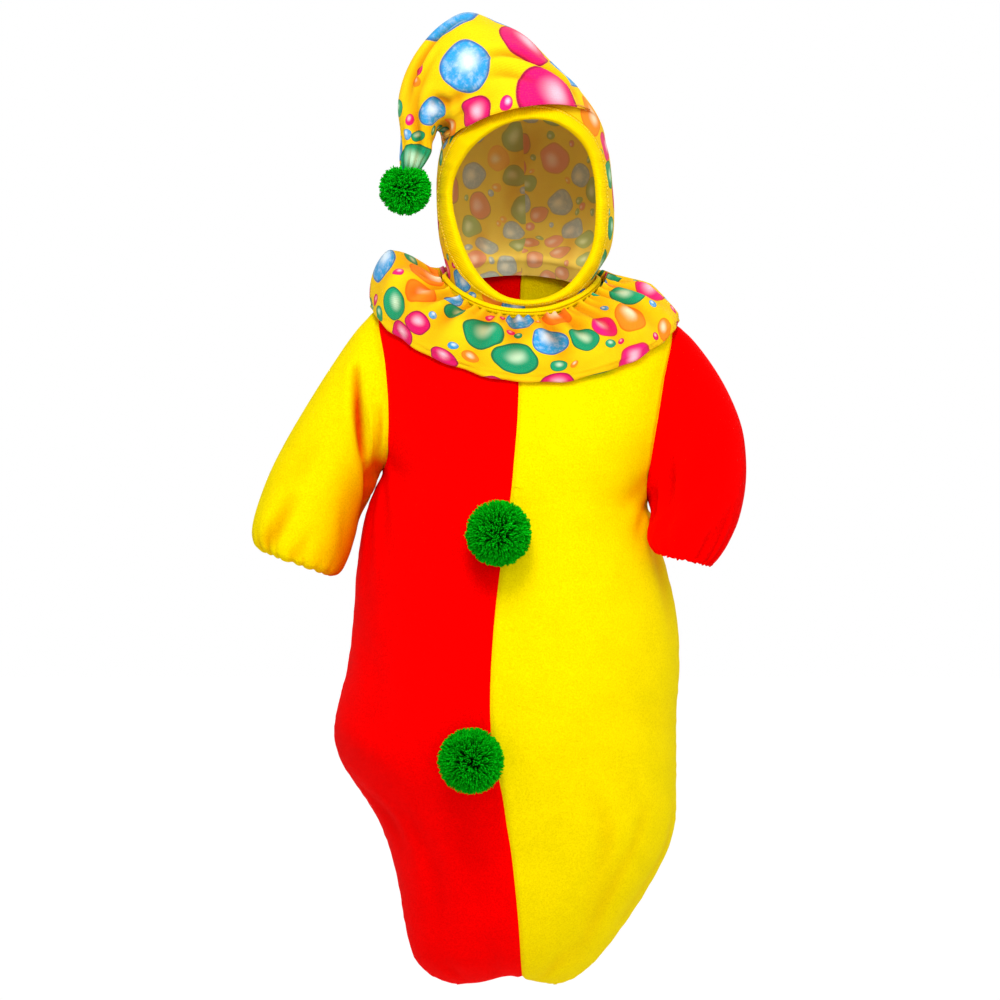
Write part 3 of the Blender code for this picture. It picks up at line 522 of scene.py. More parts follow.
def seamHeight(away, along, depth=1.25, width=1.7):
    # cloth dips into a seam, swells beside it and puckers a little along it
    pucker = 0.22 * np.sin(along / 2.3) * np.sin(along / 7.9 + 1.0) + 0.12 * np.sin(along / 1.31 + 2.0)
    return -depth * hump(away, 0, width) + (0.38 + pucker) * hump(away, 4.2, 2.6)


def gridTree(points):
    # a grid's faces, for finding where a ray meets them
    rows, columns = points.shape[:2]
    corner = np.arange(rows * columns).reshape(rows, columns)
    faces = np.stack([corner[:-1, :-1], corner[:-1, 1:], corner[1:, 1:], corner[1:, :-1]], axis=-1)
    return BVHTree.FromPolygons([Vector(p) for p in points.reshape(-1, 3)], faces.reshape(-1, 4).tolist())


# Mesh helpers: a grid primitive is shaped, closed, given a wall and finished
def selectOnly(piece):
    bpy.ops.object.select_all(action="DESELECT")
    piece.select_set(True)
    bpy.context.view_layer.objects.active = piece


def applyModifier(piece, modifier):
    selectOnly(piece)
    bpy.ops.object.modifier_apply(modifier=modifier.name)


def mergeDoubles():
    bpy.ops.mesh.remove_doubles(threshold=0.000002)


def pointOutwards():
    bpy.ops.mesh.normals_make_consistent(inside=False)


def inEditMode(piece, *steps):
    # each step works on the whole mesh
    selectOnly(piece)
    bpy.ops.object.mode_set(mode="EDIT")
    for step in steps:
        bpy.ops.mesh.select_all(action="SELECT")
        step()
    bpy.ops.object.mode_set(mode="OBJECT")


def shapedGrid(name, points, outwards, trough, cloth=None, wrap=True):
    rows, columns = points.shape[:2]
    bpy.ops.object.select_all(action="DESELECT")
    bpy.ops.mesh.primitive_grid_add(x_subdivisions=columns - 1, y_subdivisions=rows - 1, size=1.0)
    piece = bpy.context.object
    mesh = piece.data
    piece.name = mesh.name = name
    mesh.vertices.foreach_set("co", (points * mm).ravel())
    if cloth is not None:
        corners = np.empty(len(mesh.loops), int)
        mesh.loops.foreach_get("vertex_index", corners)
        mesh.uv_layers.active.data.foreach_set("uv", (cloth.reshape(-1, 2)[corners] * mm).ravel())
    mesh.update()
    # the painted shade for folds, creases, gaps and hollows, kept on the points for the finishes
    depth = mesh.attributes.new("trough", "FLOAT", "POINT")
    depth.data.foreach_set("value", np.clip(trough, 0, 1).ravel())
    faceWays = np.empty(len(mesh.vertices) * 3)
    mesh.vertices.foreach_get("normal", faceWays)
    if np.sum(faceWays.reshape(-1, 3) * outwards.reshape(-1, 3)) < 0:
        inEditMode(piece, bpy.ops.mesh.flip_normals)
    if wrap:
        inEditMode(piece, mergeDoubles)
    return piece


def threadPiece(name, points, faces):
    # yarn or thread: many small closed shapes in one mesh
    mesh = bpy.data.meshes.new(name)
    mesh.from_pydata([tuple(point) for point in points * mm], [], faces)
    piece = bpy.data.objects.new(name, mesh)
    bpy.context.scene.collection.objects.link(piece)
    inEditMode(piece, pointOutwards)
    return piece


def giveWall(piece, thickness):
    wall = piece.modifiers.new("cloth wall", "SOLIDIFY")
    wall.thickness = thickness * mm
    wall.offset = -1.0
    wall.material_offset = 1
    wall.material_offset_rim = 0
    applyModifier(piece, wall)


def smoothPiece(piece, angle=55):
    selectOnly(piece)
    bpy.ops.object.shade_smooth_by_angle(angle=math.radians(angle))


def giveCloth(piece, materials, angle=55):
    piece.data.materials.clear()
    for material in materials:
        piece.data.materials.append(material)
    smoothPiece(piece, angle)


def declare(piece, node):
    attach(piece, "root")
    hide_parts(node)


# The sack: sections from the neckline to the closing seam
bodyColumns = ("leftX", "leftZ", "rightX", "rightZ", "front", "back", "frontRise", "backRise", "seamX")
bodyRows = np.array(
    (
        (-58, 12, 63, 10, 48, 46, -26, 13, 2.5),
        (-84, 5, 93, -3, 57, 53, -33, 0, 1.5),
        (-108, -7, 119, -18, 66, 60, -47, -18, 0.5),
        (-113, -38, 122.5, -53, 74, 66, -32, -14, 0),
        (-114, -70, 121, -87, 80, 70, -18, -8, -1),
        (-110, -102, 112, -121, 86, 73, -8, -4, -3),
        (-103.5, -130, 99.5, -154, 90, 76, 0, 0, -5),
        (-110, -147, 102.6, -168, 92, 78, 0, 0, -7),
        (-118.5, -172, 106.5, -184, 95, 79, 0, 0, -10),
        (-124, -208, 114.5, -210, 98, 80, 0, 0, -14.5),
        (-126.5, -245, 122, -245, 102, 82, 0, 0, -18.5),
        (-131, -282, 124, -282, 105, 83, 0, 0, -21),
        (-138.5, -312, 122, -312, 107, 83, 0, 0, -21.5),
        (-141.5, -335, 121.7, -335, 107, 82, 0, 0, -20),
        (-135.5, -356, 121.7, -356, 104, 80, 0, 0, -16.5),
        (-121, -378, 121.5, -378, 99, 77, 0, 0, -12),
        (-108, -399, 121, -399, 93, 73, 0, 0, -9),
        (-98.5, -423, 115, -423, 85, 67, 0, 0, -5.2),
        (-91.5, -452, 100, -452, 76, 60, 0, 0, -2),
        (-87, -480, 82, -480, 64, 51, 0, 0, 0.5),
        (-80.5, -505, 63, -505, 47, 39, 0, 0, 2),
        (-70, -518, 49.5, -518, 31, 27, 0, 0, 2.7),
        (-57, -525, 38, -525, 15, 14, 0, 0, 3),
        (-46, -527.5, 29, -527.5, 0, 0, 0, 0, 3),
    ),
    float,
)
bodyAt = {name: place for place, name in enumerate(bodyColumns)}
bodyShape = {
    "shoulderRow": 2,
    "armpitRow": 6,
    "lastRow": 23,
    "armholeFront": math.radians(28),
    "armholeBack": math.radians(25),
    "notchHeight": 8.0,
    "notchX": -6.0,
    "notchWidth": 17.0,
    "notchRow": 18,
    "wall": 2.1,
    "halfGap": 0.15,
    "armholeSteps": 44,
    "columns": 58,
}

# Creases in the sack: row and degrees round at both ends, bow, depth and half width
bodyCreases = (
    (6.1, 187, 8.6, 214, 4, -2.6, 6.0),
    (6.6, 184, 9.6, 203, 5, -1.8, 7.0),
    (5.2, 196, 6.9, 226, -5, -1.3, 8.0),
    (6.1, 353, 8.2, 331, -4, -2.2, 6.0),
    (6.7, 356, 10.2, 343, -4, -1.7, 8.0),
    (4.9, 343, 6.4, 318, 5, -1.2, 8.0),
    (10.2, 196, 12.0, 222, 6, -1.2, 10.0),
    (12.3, 190, 14.4, 231, 8, 1.5, 13.0),
    (12.6, 308, 14.2, 346, -8, 1.2, 13.0),
    (14.7, 191, 16.9, 206, 5, -2.0, 8.0),
    (15.2, 214, 19.4, 229, 3, -1.7, 8.0),
    (15.0, 246, 18.2, 250, -3, -1.1, 9.0),
    (14.8, 297, 18.8, 303, 4, -1.5, 9.0),
    (15.6, 322, 20.1, 318, -5, -1.7, 8.0),
    (15.4, 349, 19.0, 340, 4, -1.4, 8.0),
    (21.7, 262, 19.2, 257, 3, -1.8, 6.0),
    (21.5, 232, 19.9, 226, 2, -1.3, 6.0),
    (21.6, 300, 19.6, 305, 2, -1.3, 6.0),
    (2.6, 62, 7.3, 70, 3, -2.2, 8.0),
    (2.7, 112, 8.1, 105, -4, -1.9, 8.0),
    (2.5, 84, 5.4, 88, 2, -1.2, 7.0),
    (6.0, 172, 9.2, 146, 5, -2.5, 7.0),
    (6.0, 8, 9.0, 35, -5, -2.4, 7.0),
    (10.6, 30, 11.9, 82, 8, -1.8, 10.0),
    (11.3, 98, 12.8, 150, -7, -1.9, 10.0),
    (12.9, 40, 14.2, 88, 5, -1.4, 11.0),
    (14.6, 60, 19.6, 74, 4, -2.1, 8.0),
    (15.1, 118, 20.0, 104, -5, -1.9, 8.0),
    (15.4, 20, 19.2, 38, 4, -1.6, 8.0),
    (15.0, 160, 18.6, 141, 4, -1.6, 8.0),
    (21.7, 92, 19.4, 96, 2, -1.7, 6.0),
)


def bodyPoint(row, turn):
    row, turn = np.broadcast_arrays(np.asarray(row, float), np.asarray(turn, float))
    row = np.clip(row, 0, bodyShape["lastRow"])
    point = ovalPoint(smoothBetween(bodyRows, row), bodyAt, turn, 1.5)
    notch = np.clip((row - bodyShape["notchRow"]) / (bodyShape["lastRow"] - bodyShape["notchRow"]), 0, 1)
    lift = bodyShape["notchHeight"] * hump(point[..., 0], bodyShape["notchX"], bodyShape["notchWidth"])
    point[..., 2] += lift * notch**2
    return point


def bodyNormal(row, turn):
    row, turn = np.broadcast_arrays(np.asarray(row, float), np.asarray(turn, float))
    last = bodyShape["lastRow"]
    normal = -surfaceNormals(bodyPoint, np.clip(row, 0.02, last - 0.05), turn)
    flat = (np.abs(np.sin(turn)) < 1e-6) | (row > last - 1e-6)
    normal[..., 1] = np.where(flat, 0.0, normal[..., 1])
    return unit(normal)


def middleSeam(row, atFront):
    section = smoothBetween(bodyRows, np.clip(row, 0, bodyShape["lastRow"]))
    left, right, seam = (section[..., bodyAt[name]] for name in ("leftX", "rightX", "seamX"))
    angle = np.arccos(np.clip((seam - (left + right) / 2) / ((right - left) / 2), -1, 1))
    return fullTurn - angle if atFront else angle


def armholeEdge(row, atFront):
    share = (row - bodyShape["shoulderRow"]) / (bodyShape["armpitRow"] - bodyShape["shoulderRow"])
    widest = bodyShape["armholeFront"] if atFront else bodyShape["armholeBack"]
    return widest * np.sqrt(np.clip(1 - (2 * np.clip(share, 0, 1) - 1) ** 2, 0, 1))


# Sleeves: each ring's outer and inner points in the front view, depth place and reaches
sleeveColumns = ("outerX", "outerZ", "innerX", "innerZ", "middleY", "front", "back")
sleeveAt = {name: place for place, name in enumerate(sleeveColumns)}
yellowSleeve = {
    "node": "sleeve_yellow",
    "slot": "yellow_fleece",
    "atLeft": True,
    "flat": (0.306, 0.240),
    "area": 0.0395,
    "rows": (
        (-124, -23, -107.5, -134.5, -1, 36, 34),
        (-143, -50, -111, -142, -2, 37, 35),
        (-162, -80, -115.5, -152, -4, 37, 35),
        (-179, -109, -120.5, -165, -7, 36, 34),
        (-191.5, -134, -125, -180, -11, 35, 33),
        (-200, -158, -129, -194, -16, 34, 32),
        (-204, -176, -133.5, -205, -19, 32, 30),
        (-203, -186, -137.5, -210, -21, 29.5, 27.5),
        (-199, -191, -142, -211.5, -22, 25.5, 23.5),
        (-195, -193.5, -146, -211, -22.5, 21.5, 20),
    ),
    "creases": (
        (1.3, 56, 2.1, 152, 6, -7.0, 4.8),
        (1.9, 138, 4.2, 176, 5, -4.6, 5.2),
        (0.35, 96, 1.0, 160, 4, -6.0, 4.2),
        (0.8, 78, 1.5, 138, 4, 2.2, 6.0),
        (2.6, 92, 5.2, 118, -5, 1.4, 12.0),
        (4.2, 128, 6.6, 150, 5, -1.7, 6.0),
        (5.3, 64, 8.0, 38, 4, -2.1, 8.0),
        (5.9, 98, 8.4, 88, -3, -1.4, 6.0),
        (1.4, 218, 4.5, 236, 5, -3.4, 8.0),
        (2.4, 262, 6.0, 284, -5, -2.2, 9.0),
        (5.2, 318, 8.2, 330, 4, -1.6, 8.0),
    ),
    "underarmShade": 1.0,
    "puckers": (
        *((12, 6), (27, 9), (47, 8), (62, 5), (84, 9), (101, 6), (122, 9), (141, 7), (163, 8)),
        *((181, 6), (204, 9), (222, 6), (245, 8), (263, 7), (287, 9), (305, 6), (326, 8), (346, 6)),
    ),
}
redSleeve = {
    "node": "sleeve_red",
    "slot": "red_fleece",
    "atLeft": False,
    "flat": (0.331, 0.238),
    "area": 0.0345,
    "rows": (
        (133, -29, 101.5, -158, -5, 36, 33),
        (150, -51, 102.5, -163, -10, 37, 32),
        (163, -74, 102, -167, -16, 38, 31),
        (172, -98, 101, -171, -23, 38, 30),
        (175, -122, 99.5, -175, -31, 37, 30),
        (174, -145, 99, -179, -39, 35, 29),
        (169, -167, 99, -183.5, -46, 32, 27),
        (161, -185, 100.5, -188, -52, 28, 24.5),
        (153, -197, 103, -191.5, -56, 23.5, 21),
        (147, -202.5, 106, -193.5, -58, 19.5, 17.5),
    ),
    "creases": (
        (1.3, 106, 4.2, 128, 5, -3.0, 7.0),
        (0.9, 138, 3.4, 158, 4, -2.6, 6.0),
        (3.5, 56, 5.3, 106, 6, -2.3, 7.0),
        (4.6, 118, 6.9, 146, -4, -1.9, 7.0),
        (6.5, 44, 8.6, 64, 3, -1.5, 7.0),
        (0.8, 66, 3.0, 84, -4, 1.5, 12.0),
        (2.1, 254, 5.0, 238, 4, -2.7, 9.0),
        (5.2, 292, 8.0, 304, -4, -1.7, 8.0),
    ),
    "underarmShade": 0.0,
    "puckers": (
        *((8, 7), (29, 8), (44, 6), (66, 9), (88, 6), (104, 8), (127, 9), (149, 6), (165, 8)),
        *((188, 7), (207, 9), (229, 6), (248, 9), (270, 7), (291, 8), (308, 6), (331, 9), (349, 7)),
    ),
}
sleeveShape = {"columns": 168, "rowsPerRing": 8, "puckerDepth": 1.35, "wall": 2.1, "hemTurn": 5.0}


def sleevePoint(rows, row, turn):
    section = smoothBetween(rows, np.clip(row, 0, len(rows) - 1))
    part = {name: section[..., place] for name, place in sleeveAt.items()}
    share, sine = (1 + np.cos(turn)) / 2, np.sin(turn)
    x = part["innerX"] * (1 - share) + part["outerX"] * share
    z = part["innerZ"] * (1 - share) + part["outerZ"] * share
    reach = np.where(sine > 0, part["front"], part["back"])
    return np.stack([x, part["middleY"] - reach * sine, z], axis=-1)


def armholePoint(turns, atLeft):
    span = bodyShape["armpitRow"] - bodyShape["shoulderRow"]
    row = bodyShape["shoulderRow"] + span * (1 - np.cos(turns)) / 2
    reach = np.where(np.sin(turns) >= 0, bodyShape["armholeFront"], bodyShape["armholeBack"])
    around = reach * np.sin(turns)
    turn = math.pi + around if atLeft else fullTurn - around
    return bodyPoint(row, turn), bodyNormal(row, turn)


def armholeMitre(sleeve, where):
    # the shared outward way where the sleeve meets the sack, at any turns round the armhole
    count = 24
    turns = np.linspace(0, fullTurn, count, endpoint=False)
    rim, onBody = armholePoint(turns, sleeve["atLeft"])
    ring = sleevePoint(np.array(sleeve["rows"], float), np.zeros(count), turns)
    along = unit(np.roll(rim, -1, axis=0) - np.roll(rim, 1, axis=0))
    onSleeve = unit(np.cross(along, ring - rim))
    away = (rim + ring) / 2 - (rim + ring).mean(axis=0) / 2
    onSleeve *= np.sign(np.sum(onSleeve * away, axis=1, keepdims=True))
    mitres = unit(evened(unit(onBody + onSleeve)))
    return unit(smoothBetween(mitres, where / fullTurn * count, closed=True))


def armholeDip(along):
    return -1.0 - 0.15 * np.sin(along * 9.0)


def uneven(share, tightness=0.72):
    return share - tightness * np.sin(fullTurn * share) / fullTurn


# the four panels' nodes, and each one's cut in metres
panels = {
    "frontRedPanel": {"node": "front_red", "flat": (0.178, 0.648), "area": 0.0801},
    "frontYellowPanel": {"node": "front_yellow", "flat": (0.201, 0.645), "area": 0.0857},
    "backRedPanel": {"node": "back_red", "flat": (0.160, 0.638), "area": 0.0758},
    "backYellowPanel": {"node": "back_yellow", "flat": (0.185, 0.636), "area": 0.0820},
}


def makePanel(name, panel):
    place, colour = panel["node"].split("_")
    atFront, atLeft, slot = place == "front", colour == "red", colour + "_fleece"
    steps = bodyShape["armholeSteps"]
    first, armpit, last = bodyShape["shoulderRow"], bodyShape["armpitRow"], bodyShape["lastRow"]
    turns = np.linspace(0, math.pi, steps + 1)
    above = np.linspace(0, first, 15)[:-1]
    hole = first + (armpit - first) * (1 - np.cos(turns)) / 2
    below = np.linspace(armpit, last - 1, 92)[1:]
    closing = last - 1 + np.array([0.15, 0.3, 0.45, 0.6, 0.72, 0.82, 0.9, 0.95, 1.0])
    rows = np.concatenate([above, hole, below, closing])
    edge = armholeEdge(rows, atFront)
    seamTurn = math.pi if atLeft else fullTurn * atFront
    side = seamTurn + edge if atFront == atLeft else seamTurn - edge
    share = uneven(np.linspace(0, 1, bodyShape["columns"] + 1))
    turn = side[:, None] * (1 - share) + middleSeam(rows, atFront)[:, None] * share
    row = np.repeat(rows[:, None], len(share), axis=1)
    points, normal = bodyPoint(row, turn), bodyNormal(row, turn)
    across = runningLength(points, 1)
    along = np.repeat(runningLength(points[:, 30])[:, None], len(share), axis=1)
    toEnd = along[-1] - along
    height = creaseHeight(points, bodyPoint, bodyCreases) * ease(row, 1.9, 3.0) * ease(toEnd, 0.0, 14.0)
    # painted shade in the sack's creases
    trough = 0.26 * np.clip(-height / 3.0, 0, 1)
    height += seamHeight(across[:, -1:] - across, along)
    height += np.where((row > first) & (row < armpit), 0.0, seamHeight(across, along))
    aroundHole = turns if atFront else -turns
    holeRows = slice(len(above), len(above) + steps + 1)
    normal[holeRows, 0] = armholeMitre(yellowSleeve if atLeft else redSleeve, aroundHole % fullTurn)
    fromHole, inHole = across[holeRows], np.sin(turns)[:, None] ** 0.3
    height[holeRows] += armholeDip(aroundHole)[:, None] * hump(fromHole, 0, 2.2) * inHole
    height[holeRows] += 0.4 * hump(fromHole, 5, 3) * inHole
    height -= 0.44 * hump(toEnd, 0, 2.5)
    points = points + normal * height[..., None]
    cloth = np.stack([across if atLeft else -across, -along], axis=-1)
    piece = shapedGrid(name, points, normal, trough, cloth, wrap=False)
    giveWall(piece, bodyShape["wall"])
    # front and back walls stop short of each other
    forward = -1.0 if atFront else 1.0
    place = np.empty(len(piece.data.vertices) * 3)
    piece.data.vertices.foreach_get("co", place)
    place[1::3] = forward * np.maximum(forward * place[1::3], bodyShape["halfGap"] * mm)
    piece.data.vertices.foreach_set("co", place)
    giveCloth(piece, slotCloths[slot])
    declare(piece, panel["node"])


for panelName, panelCut in panels.items():
    makePanel(panelName, panelCut)
print("sack panels made")


def makeSleeve(name, sleeve):
    rows = np.array(sleeve["rows"], float)
    count = sleeveShape["columns"]
    turns = np.linspace(0, fullTurn, count + 1)
    rings = [armholePoint(turns, sleeve["atLeft"])[0]]
    rings += [sleevePoint(rows, np.full(count + 1, float(k)), turns) for k in range(len(rows))]
    middle = rings[-1].mean(axis=0)
    inward = unit(rings[-3].mean(axis=0) - middle) * sleeveShape["hemTurn"]
    rings.append(middle + (rings[-1] - middle) * 0.9 + inward)
    rings.append(middle + (rings[-1] - middle) * 0.96 + inward * 1.4)
    control = np.array(rings)

    def pointAt(row, turn):
        row, turn = np.broadcast_arrays(np.asarray(row, float), np.asarray(turn, float))
        column = (turn % fullTurn) / fullTurn * count
        low = np.floor(column).astype(int)
        part = (column - low)[..., None]
        first = np.clip(np.floor(row).astype(int), 0, len(control) - 2)

        def ring(step):
            place = np.clip(first + step, 0, len(control) - 1)
            return control[place, low] * (1 - part) + control[place, np.minimum(low + 1, count)] * part

        return curveThrough([ring(step) for step in range(-1, 3)], (row - first)[..., None])

    start = np.array([0, 0.02, 0.05, 0.09, 0.14, 0.2, 0.28, 0.38, 0.5, 0.62, 0.75, 0.87])
    onward = np.linspace(1, len(control) - 1, (len(control) - 2) * sleeveShape["rowsPerRing"] + 1)
    row, turn = np.meshgrid(np.concatenate([start, onward]), turns, indexing="ij")
    points = pointAt(row, turn)
    normal = outwardNormals(points)
    normal[0] = armholeMitre(sleeve, turns)
    along = runningLength(points)
    across = (turn - math.pi) / fullTurn * runningLength(points, 1)[:, -1:]
    degrees = np.degrees(turn)
    height = creaseHeight(points, pointAt, sleeve["creases"]) * ease(along, 1.5, 10.0)
    # painted shade in the sleeve's creases
    trough = np.clip(-height / 5.5, 0, 1) ** 0.8
    signed = np.where(turns > math.pi, turns - fullTurn, turns)
    height += armholeDip(signed) * hump(along, 0, 2.2) * np.abs(np.sin(turns)) ** 0.3
    height += 0.6 * hump(along, 6, 3.5)
    cuff = len(rows)
    gathered = ease(row, cuff - 4.2, cuff - 1.2) * (1 - 0.55 * ease(row, cuff, cuff + 1.6))
    pucker = np.zeros_like(height)
    for middleDegrees, width in sleeve["puckers"]:
        pucker -= hump(offMiddle(degrees, middleDegrees), 0, width * 0.55) * (0.6 + 0.05 * width)
    height += sleeveShape["puckerDepth"] * pucker * gathered
    height -= hump(across, 0, 1.6) * ease(along, 2.0, 8.0)
    points = points + normal * height[..., None]
    points[:, -1] = points[:, 0]
    # painted shade in the cuff's puckers
    trough = trough + 0.25 * np.clip(-pucker, 0, 1) * gathered
    # painted shade along the underside of the arm and in the armpit, on sleeves whose underarmShade is set
    underarm = hump(degrees, 174, 50) * ease(along, 8.0, 34.0)
    armpit = 1.5 * hump(along, 18, 24) * hump(degrees, 160, 25)
    trough = np.maximum(trough, sleeve["underarmShade"] * np.maximum(underarm, armpit))
    piece = shapedGrid(name, points, normal, trough, np.stack([across, -along], axis=-1))
    giveWall(piece, sleeveShape["wall"])
    giveCloth(piece, slotCloths[sleeve["slot"]])
    declare(piece, sleeve["node"])


makeSleeve("yellowSleeve", yellowSleeve)
makeSleeve("redSleeve", redSleeve)
print("sleeves made")

# Hood: sections from the hem in the neck, over the head, to the tied end of the point
hoodColumns = ("leftX", "leftZ", "rightX", "rightZ", "middleY", "front", "back", "frontRise", "backRise")
hoodAt = {name: place for place, name in enumerate(hoodColumns)}
hoodRows = np.array(
    (
        (-53, 7, 58, 5, 1.8, 43, 41, -22.5, 13),
        (-53.8, 16, 58.8, 14, -1.5, 45, 41.4, -22.5, 13),
        (-54.6, 22.5, 60.2, 20.5, -3, 48, 42.3, -17, 12),
        (-58, 36, 69.5, 35, -2, 59, 57, -6, 7),
        (-61, 50, 73.3, 50, 0, 68, 66, 0, 2),
        (-62.5, 70, 74, 70, 0, 73, 72, 0, 0),
        (-62.8, 90, 72.5, 90, 0, 75, 75, 4, 0),
        (-61.5, 106, 70.5, 109, 0, 74, 76, 12, 2),
        (-59.5, 114.5, 67.5, 121, 0, 71, 76, 20, 4),
        (-58.5, 118.5, 65.5, 131, -1, 65, 75, 29, 8),
        (-58.5, 122, 58.5, 146, -3, 73, 72, 18, 8),
        (-58.8, 125, 46, 162, -5, 74, 67, 18, 8),
        (-59.2, 127.5, 28, 180, -9, 66, 60, 13, 6),
        (-60, 129.5, 5, 203, -14, 55, 50, 6, 3),
        (-61, 130.8, -16, 213.5, -18, 46, 42, 2, 1),
        (-62, 131.2, -38, 221, -22, 39, 35, 0, 0),
        (-63, 130.5, -57, 213, -25, 33, 30, 0, 0),
        (-64, 128.5, -75, 194, -27, 28, 26, 0, 0),
        (-65, 125, -87, 172, -29, 24, 22, 0, 0),
        (-66, 120, -92, 150, -30, 20, 18, 0, 0),
        (-66.5, 113.5, -90, 127, -31, 14, 13, 0, 0),
        (-70.5, 106, -91, 110, -31, 10, 9.5, 0, 0),
        (-75, 100, -90, 101, -31, 6.5, 6.5, 0, 0),
        (-80.5, 96.2, -87.5, 96.2, -31, 3.2, 3.2, 0, 0),
    ),
    float,
)
# creases in the hood, in the same columns as the sack's
hoodCreases = (
    (10.8, 318, 14.4, 262, 6, 2.6, 7.0),
    (10.6, 330, 14.2, 276, 6, -4.4, 4.4),
    (11.3, 292, 13.4, 262, 5, -2.6, 4.0),
    (12.6, 256, 15.8, 232, -5, -3.2, 4.2),
    (15.0, 334, 19.2, 290, 8, -4.0, 4.6),
    (16.2, 302, 20.0, 268, -6, -3.4, 4.0),
    (17.6, 262, 21.0, 246, 5, -2.4, 3.6),
    (14.2, 226, 17.4, 250, 5, -2.8, 4.0),
    (10.4, 196, 13.0, 214, -6, -3.4, 4.2),
    (10.2, 216, 12.2, 228, 4, -1.8, 4.0),
    (9.2, 186, 11.0, 200, 3, -2.0, 4.0),
    (10.3, 326, 12.4, 348, 4, -2.2, 5.0),
    (12.5, 72, 17.0, 108, 6, -3.6, 8.0),
    (10.2, 40, 12.6, 74, -6, -2.6, 7.0),
    (10.6, 118, 13.4, 140, 5, -2.4, 7.0),
    (4.5, 100, 8.6, 80, 5, -2.0, 10.0),
    (1.6, 48, 4.2, 58, 3, -1.8, 6.0),
    (1.5, 84, 3.8, 88, -3, -1.6, 6.0),
    (1.6, 126, 4.4, 118, 3, -1.9, 6.0),
    (1.8, 20, 4.0, 28, 3, -1.3, 6.0),
    (1.8, 160, 4.0, 152, 3, -1.3, 6.0),
)
# gathers where the point is tied: degrees round and half width
hoodTieGathers = (
    *((10, 9), (38, 11), (71, 8), (98, 12), (131, 9), (160, 8)),
    *((193, 11), (221, 9), (254, 12), (287, 8), (318, 10), (342, 7)),
)
hoodShape = {
    "columns": 176,
    "rowsPerSection": 6,
    "wall": 1.4,
    "tieGatherDepth": 1.5,
    "lipForward": 6.0,
    "lipTuck": 1.5,
    "lipDrop": 5.0,
    "openingSteps": 160,
}
# edge of the face opening: place across, height, and the binding's width there
openingRows = np.array(
    (
        (9, 139.4, 10),
        (32, 135.5, 9.5),
        (51.5, 119.5, 8),
        (60, 96, 6.5),
        (61.5, 65.5, 6.5),
        (58, 38.5, 6.5),
        (46, 17.5, 7),
        (31, 5.2, 4.2),
        (11, -0.4, 2.8),
        (-11.5, 2.9, 3.8),
        (-29.5, 17, 8),
        (-42.5, 38.5, 10),
        (-51, 65.5, 9.3),
        (-52.4, 84.7, 8.3),
        (-47.5, 101.6, 10.5),
        (-35, 119.4, 14),
        (-14, 134, 11.5),
    ),
    float,
)


def hoodPoint(row, turn):
    row, turn = np.broadcast_arrays(np.asarray(row, float), np.asarray(turn, float))
    return ovalPoint(smoothBetween(hoodRows, np.clip(row, 0, len(hoodRows) - 1)), hoodAt, turn, 1.3)


def hoodSurface():
    # the seam of the grid runs down the back, where the hood's own seam is
    last = len(hoodRows) - 1
    places = np.linspace(0, last, last * hoodShape["rowsPerSection"] + 1)
    turns = np.linspace(0, fullTurn, hoodShape["columns"] + 1) + math.pi / 2
    row, turn = np.meshgrid(places, turns, indexing="ij")
    points = hoodPoint(row, turn)
    normal = outwardNormals(points)
    for _ in range(6):
        inside = (normal[:-2] + 2 * normal[1:-1] + normal[2:]) / 4
        normal = unit(np.concatenate([normal[:1], inside, normal[-1:]]))
    height = creaseHeight(points, hoodPoint, hoodCreases)
    # painted shade in the hood's creases
    trough = 0.9 * np.clip(-height / 3.2, 0, 1)
    gather = np.zeros_like(height)
    for middleDegrees, width in hoodTieGathers:
        gather -= hump(offMiddle(np.degrees(turn), middleDegrees), 0, width * 0.7)
    # painted shade in the gathers where the point is tied
    trough += 0.5 * np.clip(-gather, 0, 1) * ease(row, 19.0, 21.5)
    tied = ease(row, 18.6, 21.5) * (1 - 0.7 * ease(row, 21.5, 23.0))
    height += hoodShape["tieGatherDepth"] * gather * tied
    girth = runningLength(points, 1)[:, -1:]
    fromSeam = girth / 2 - np.abs((turn - 1.5 * math.pi) / fullTurn * girth)
    along = runningLength(points).mean(axis=1, keepdims=True)
    height += np.where(row < 20, seamHeight(fromSeam, along, 0.9, 1.5), 0.0)
    points = points + normal * height[..., None]
    toFront = ease(-np.sin(turn), 0.05, 0.6)
    overhang = hump(row, 10.05, 0.55) * toFront
    tuck = hump(row, 9.1, 0.4) * toFront
    points[..., 1] += -hoodShape["lipForward"] * overhang + hoodShape["lipTuck"] * tuck
    points[..., 2] -= hoodShape["lipDrop"] * overhang
    # a painted shadow line under the lip's overhang
    trough += 1.2 * hump(row, 9.45, 0.42) * toFront
    points[:, -1] = points[:, 0]
    points[-1] = points[-1].mean(axis=0)
    return points, normal, trough


def closedCurve(table, steps):
    return smoothBetween(table, np.linspace(0, len(table), steps, endpoint=False), closed=True)


def unwrapCloth():
    bpy.ops.uv.unwrap(method="ANGLE_BASED", margin=0.0)


def evenCloth(piece):
    # lays the open grid out flat with little stretch, and brings it to its real size
    inEditMode(piece, unwrapCloth)
    mesh = piece.data
    flat = np.empty(len(mesh.loops) * 2)
    mesh.uv_layers.active.data.foreach_get("uv", flat)
    a, b, c, d = (flat.reshape(-1, 4, 2)[:, k] for k in range(4))
    first, second = c - a, d - b
    inMap = np.abs(first[:, 0] * second[:, 1] - first[:, 1] * second[:, 0]).sum() / 2
    scale = math.sqrt(sum(face.area for face in mesh.polygons) / inMap)
    mesh.uv_layers.active.data.foreach_set("uv", flat * scale)


def extrudeBack():
    bpy.ops.mesh.extrude_region_move(TRANSFORM_OT_translate={"value": (0, 0.142, 0)})


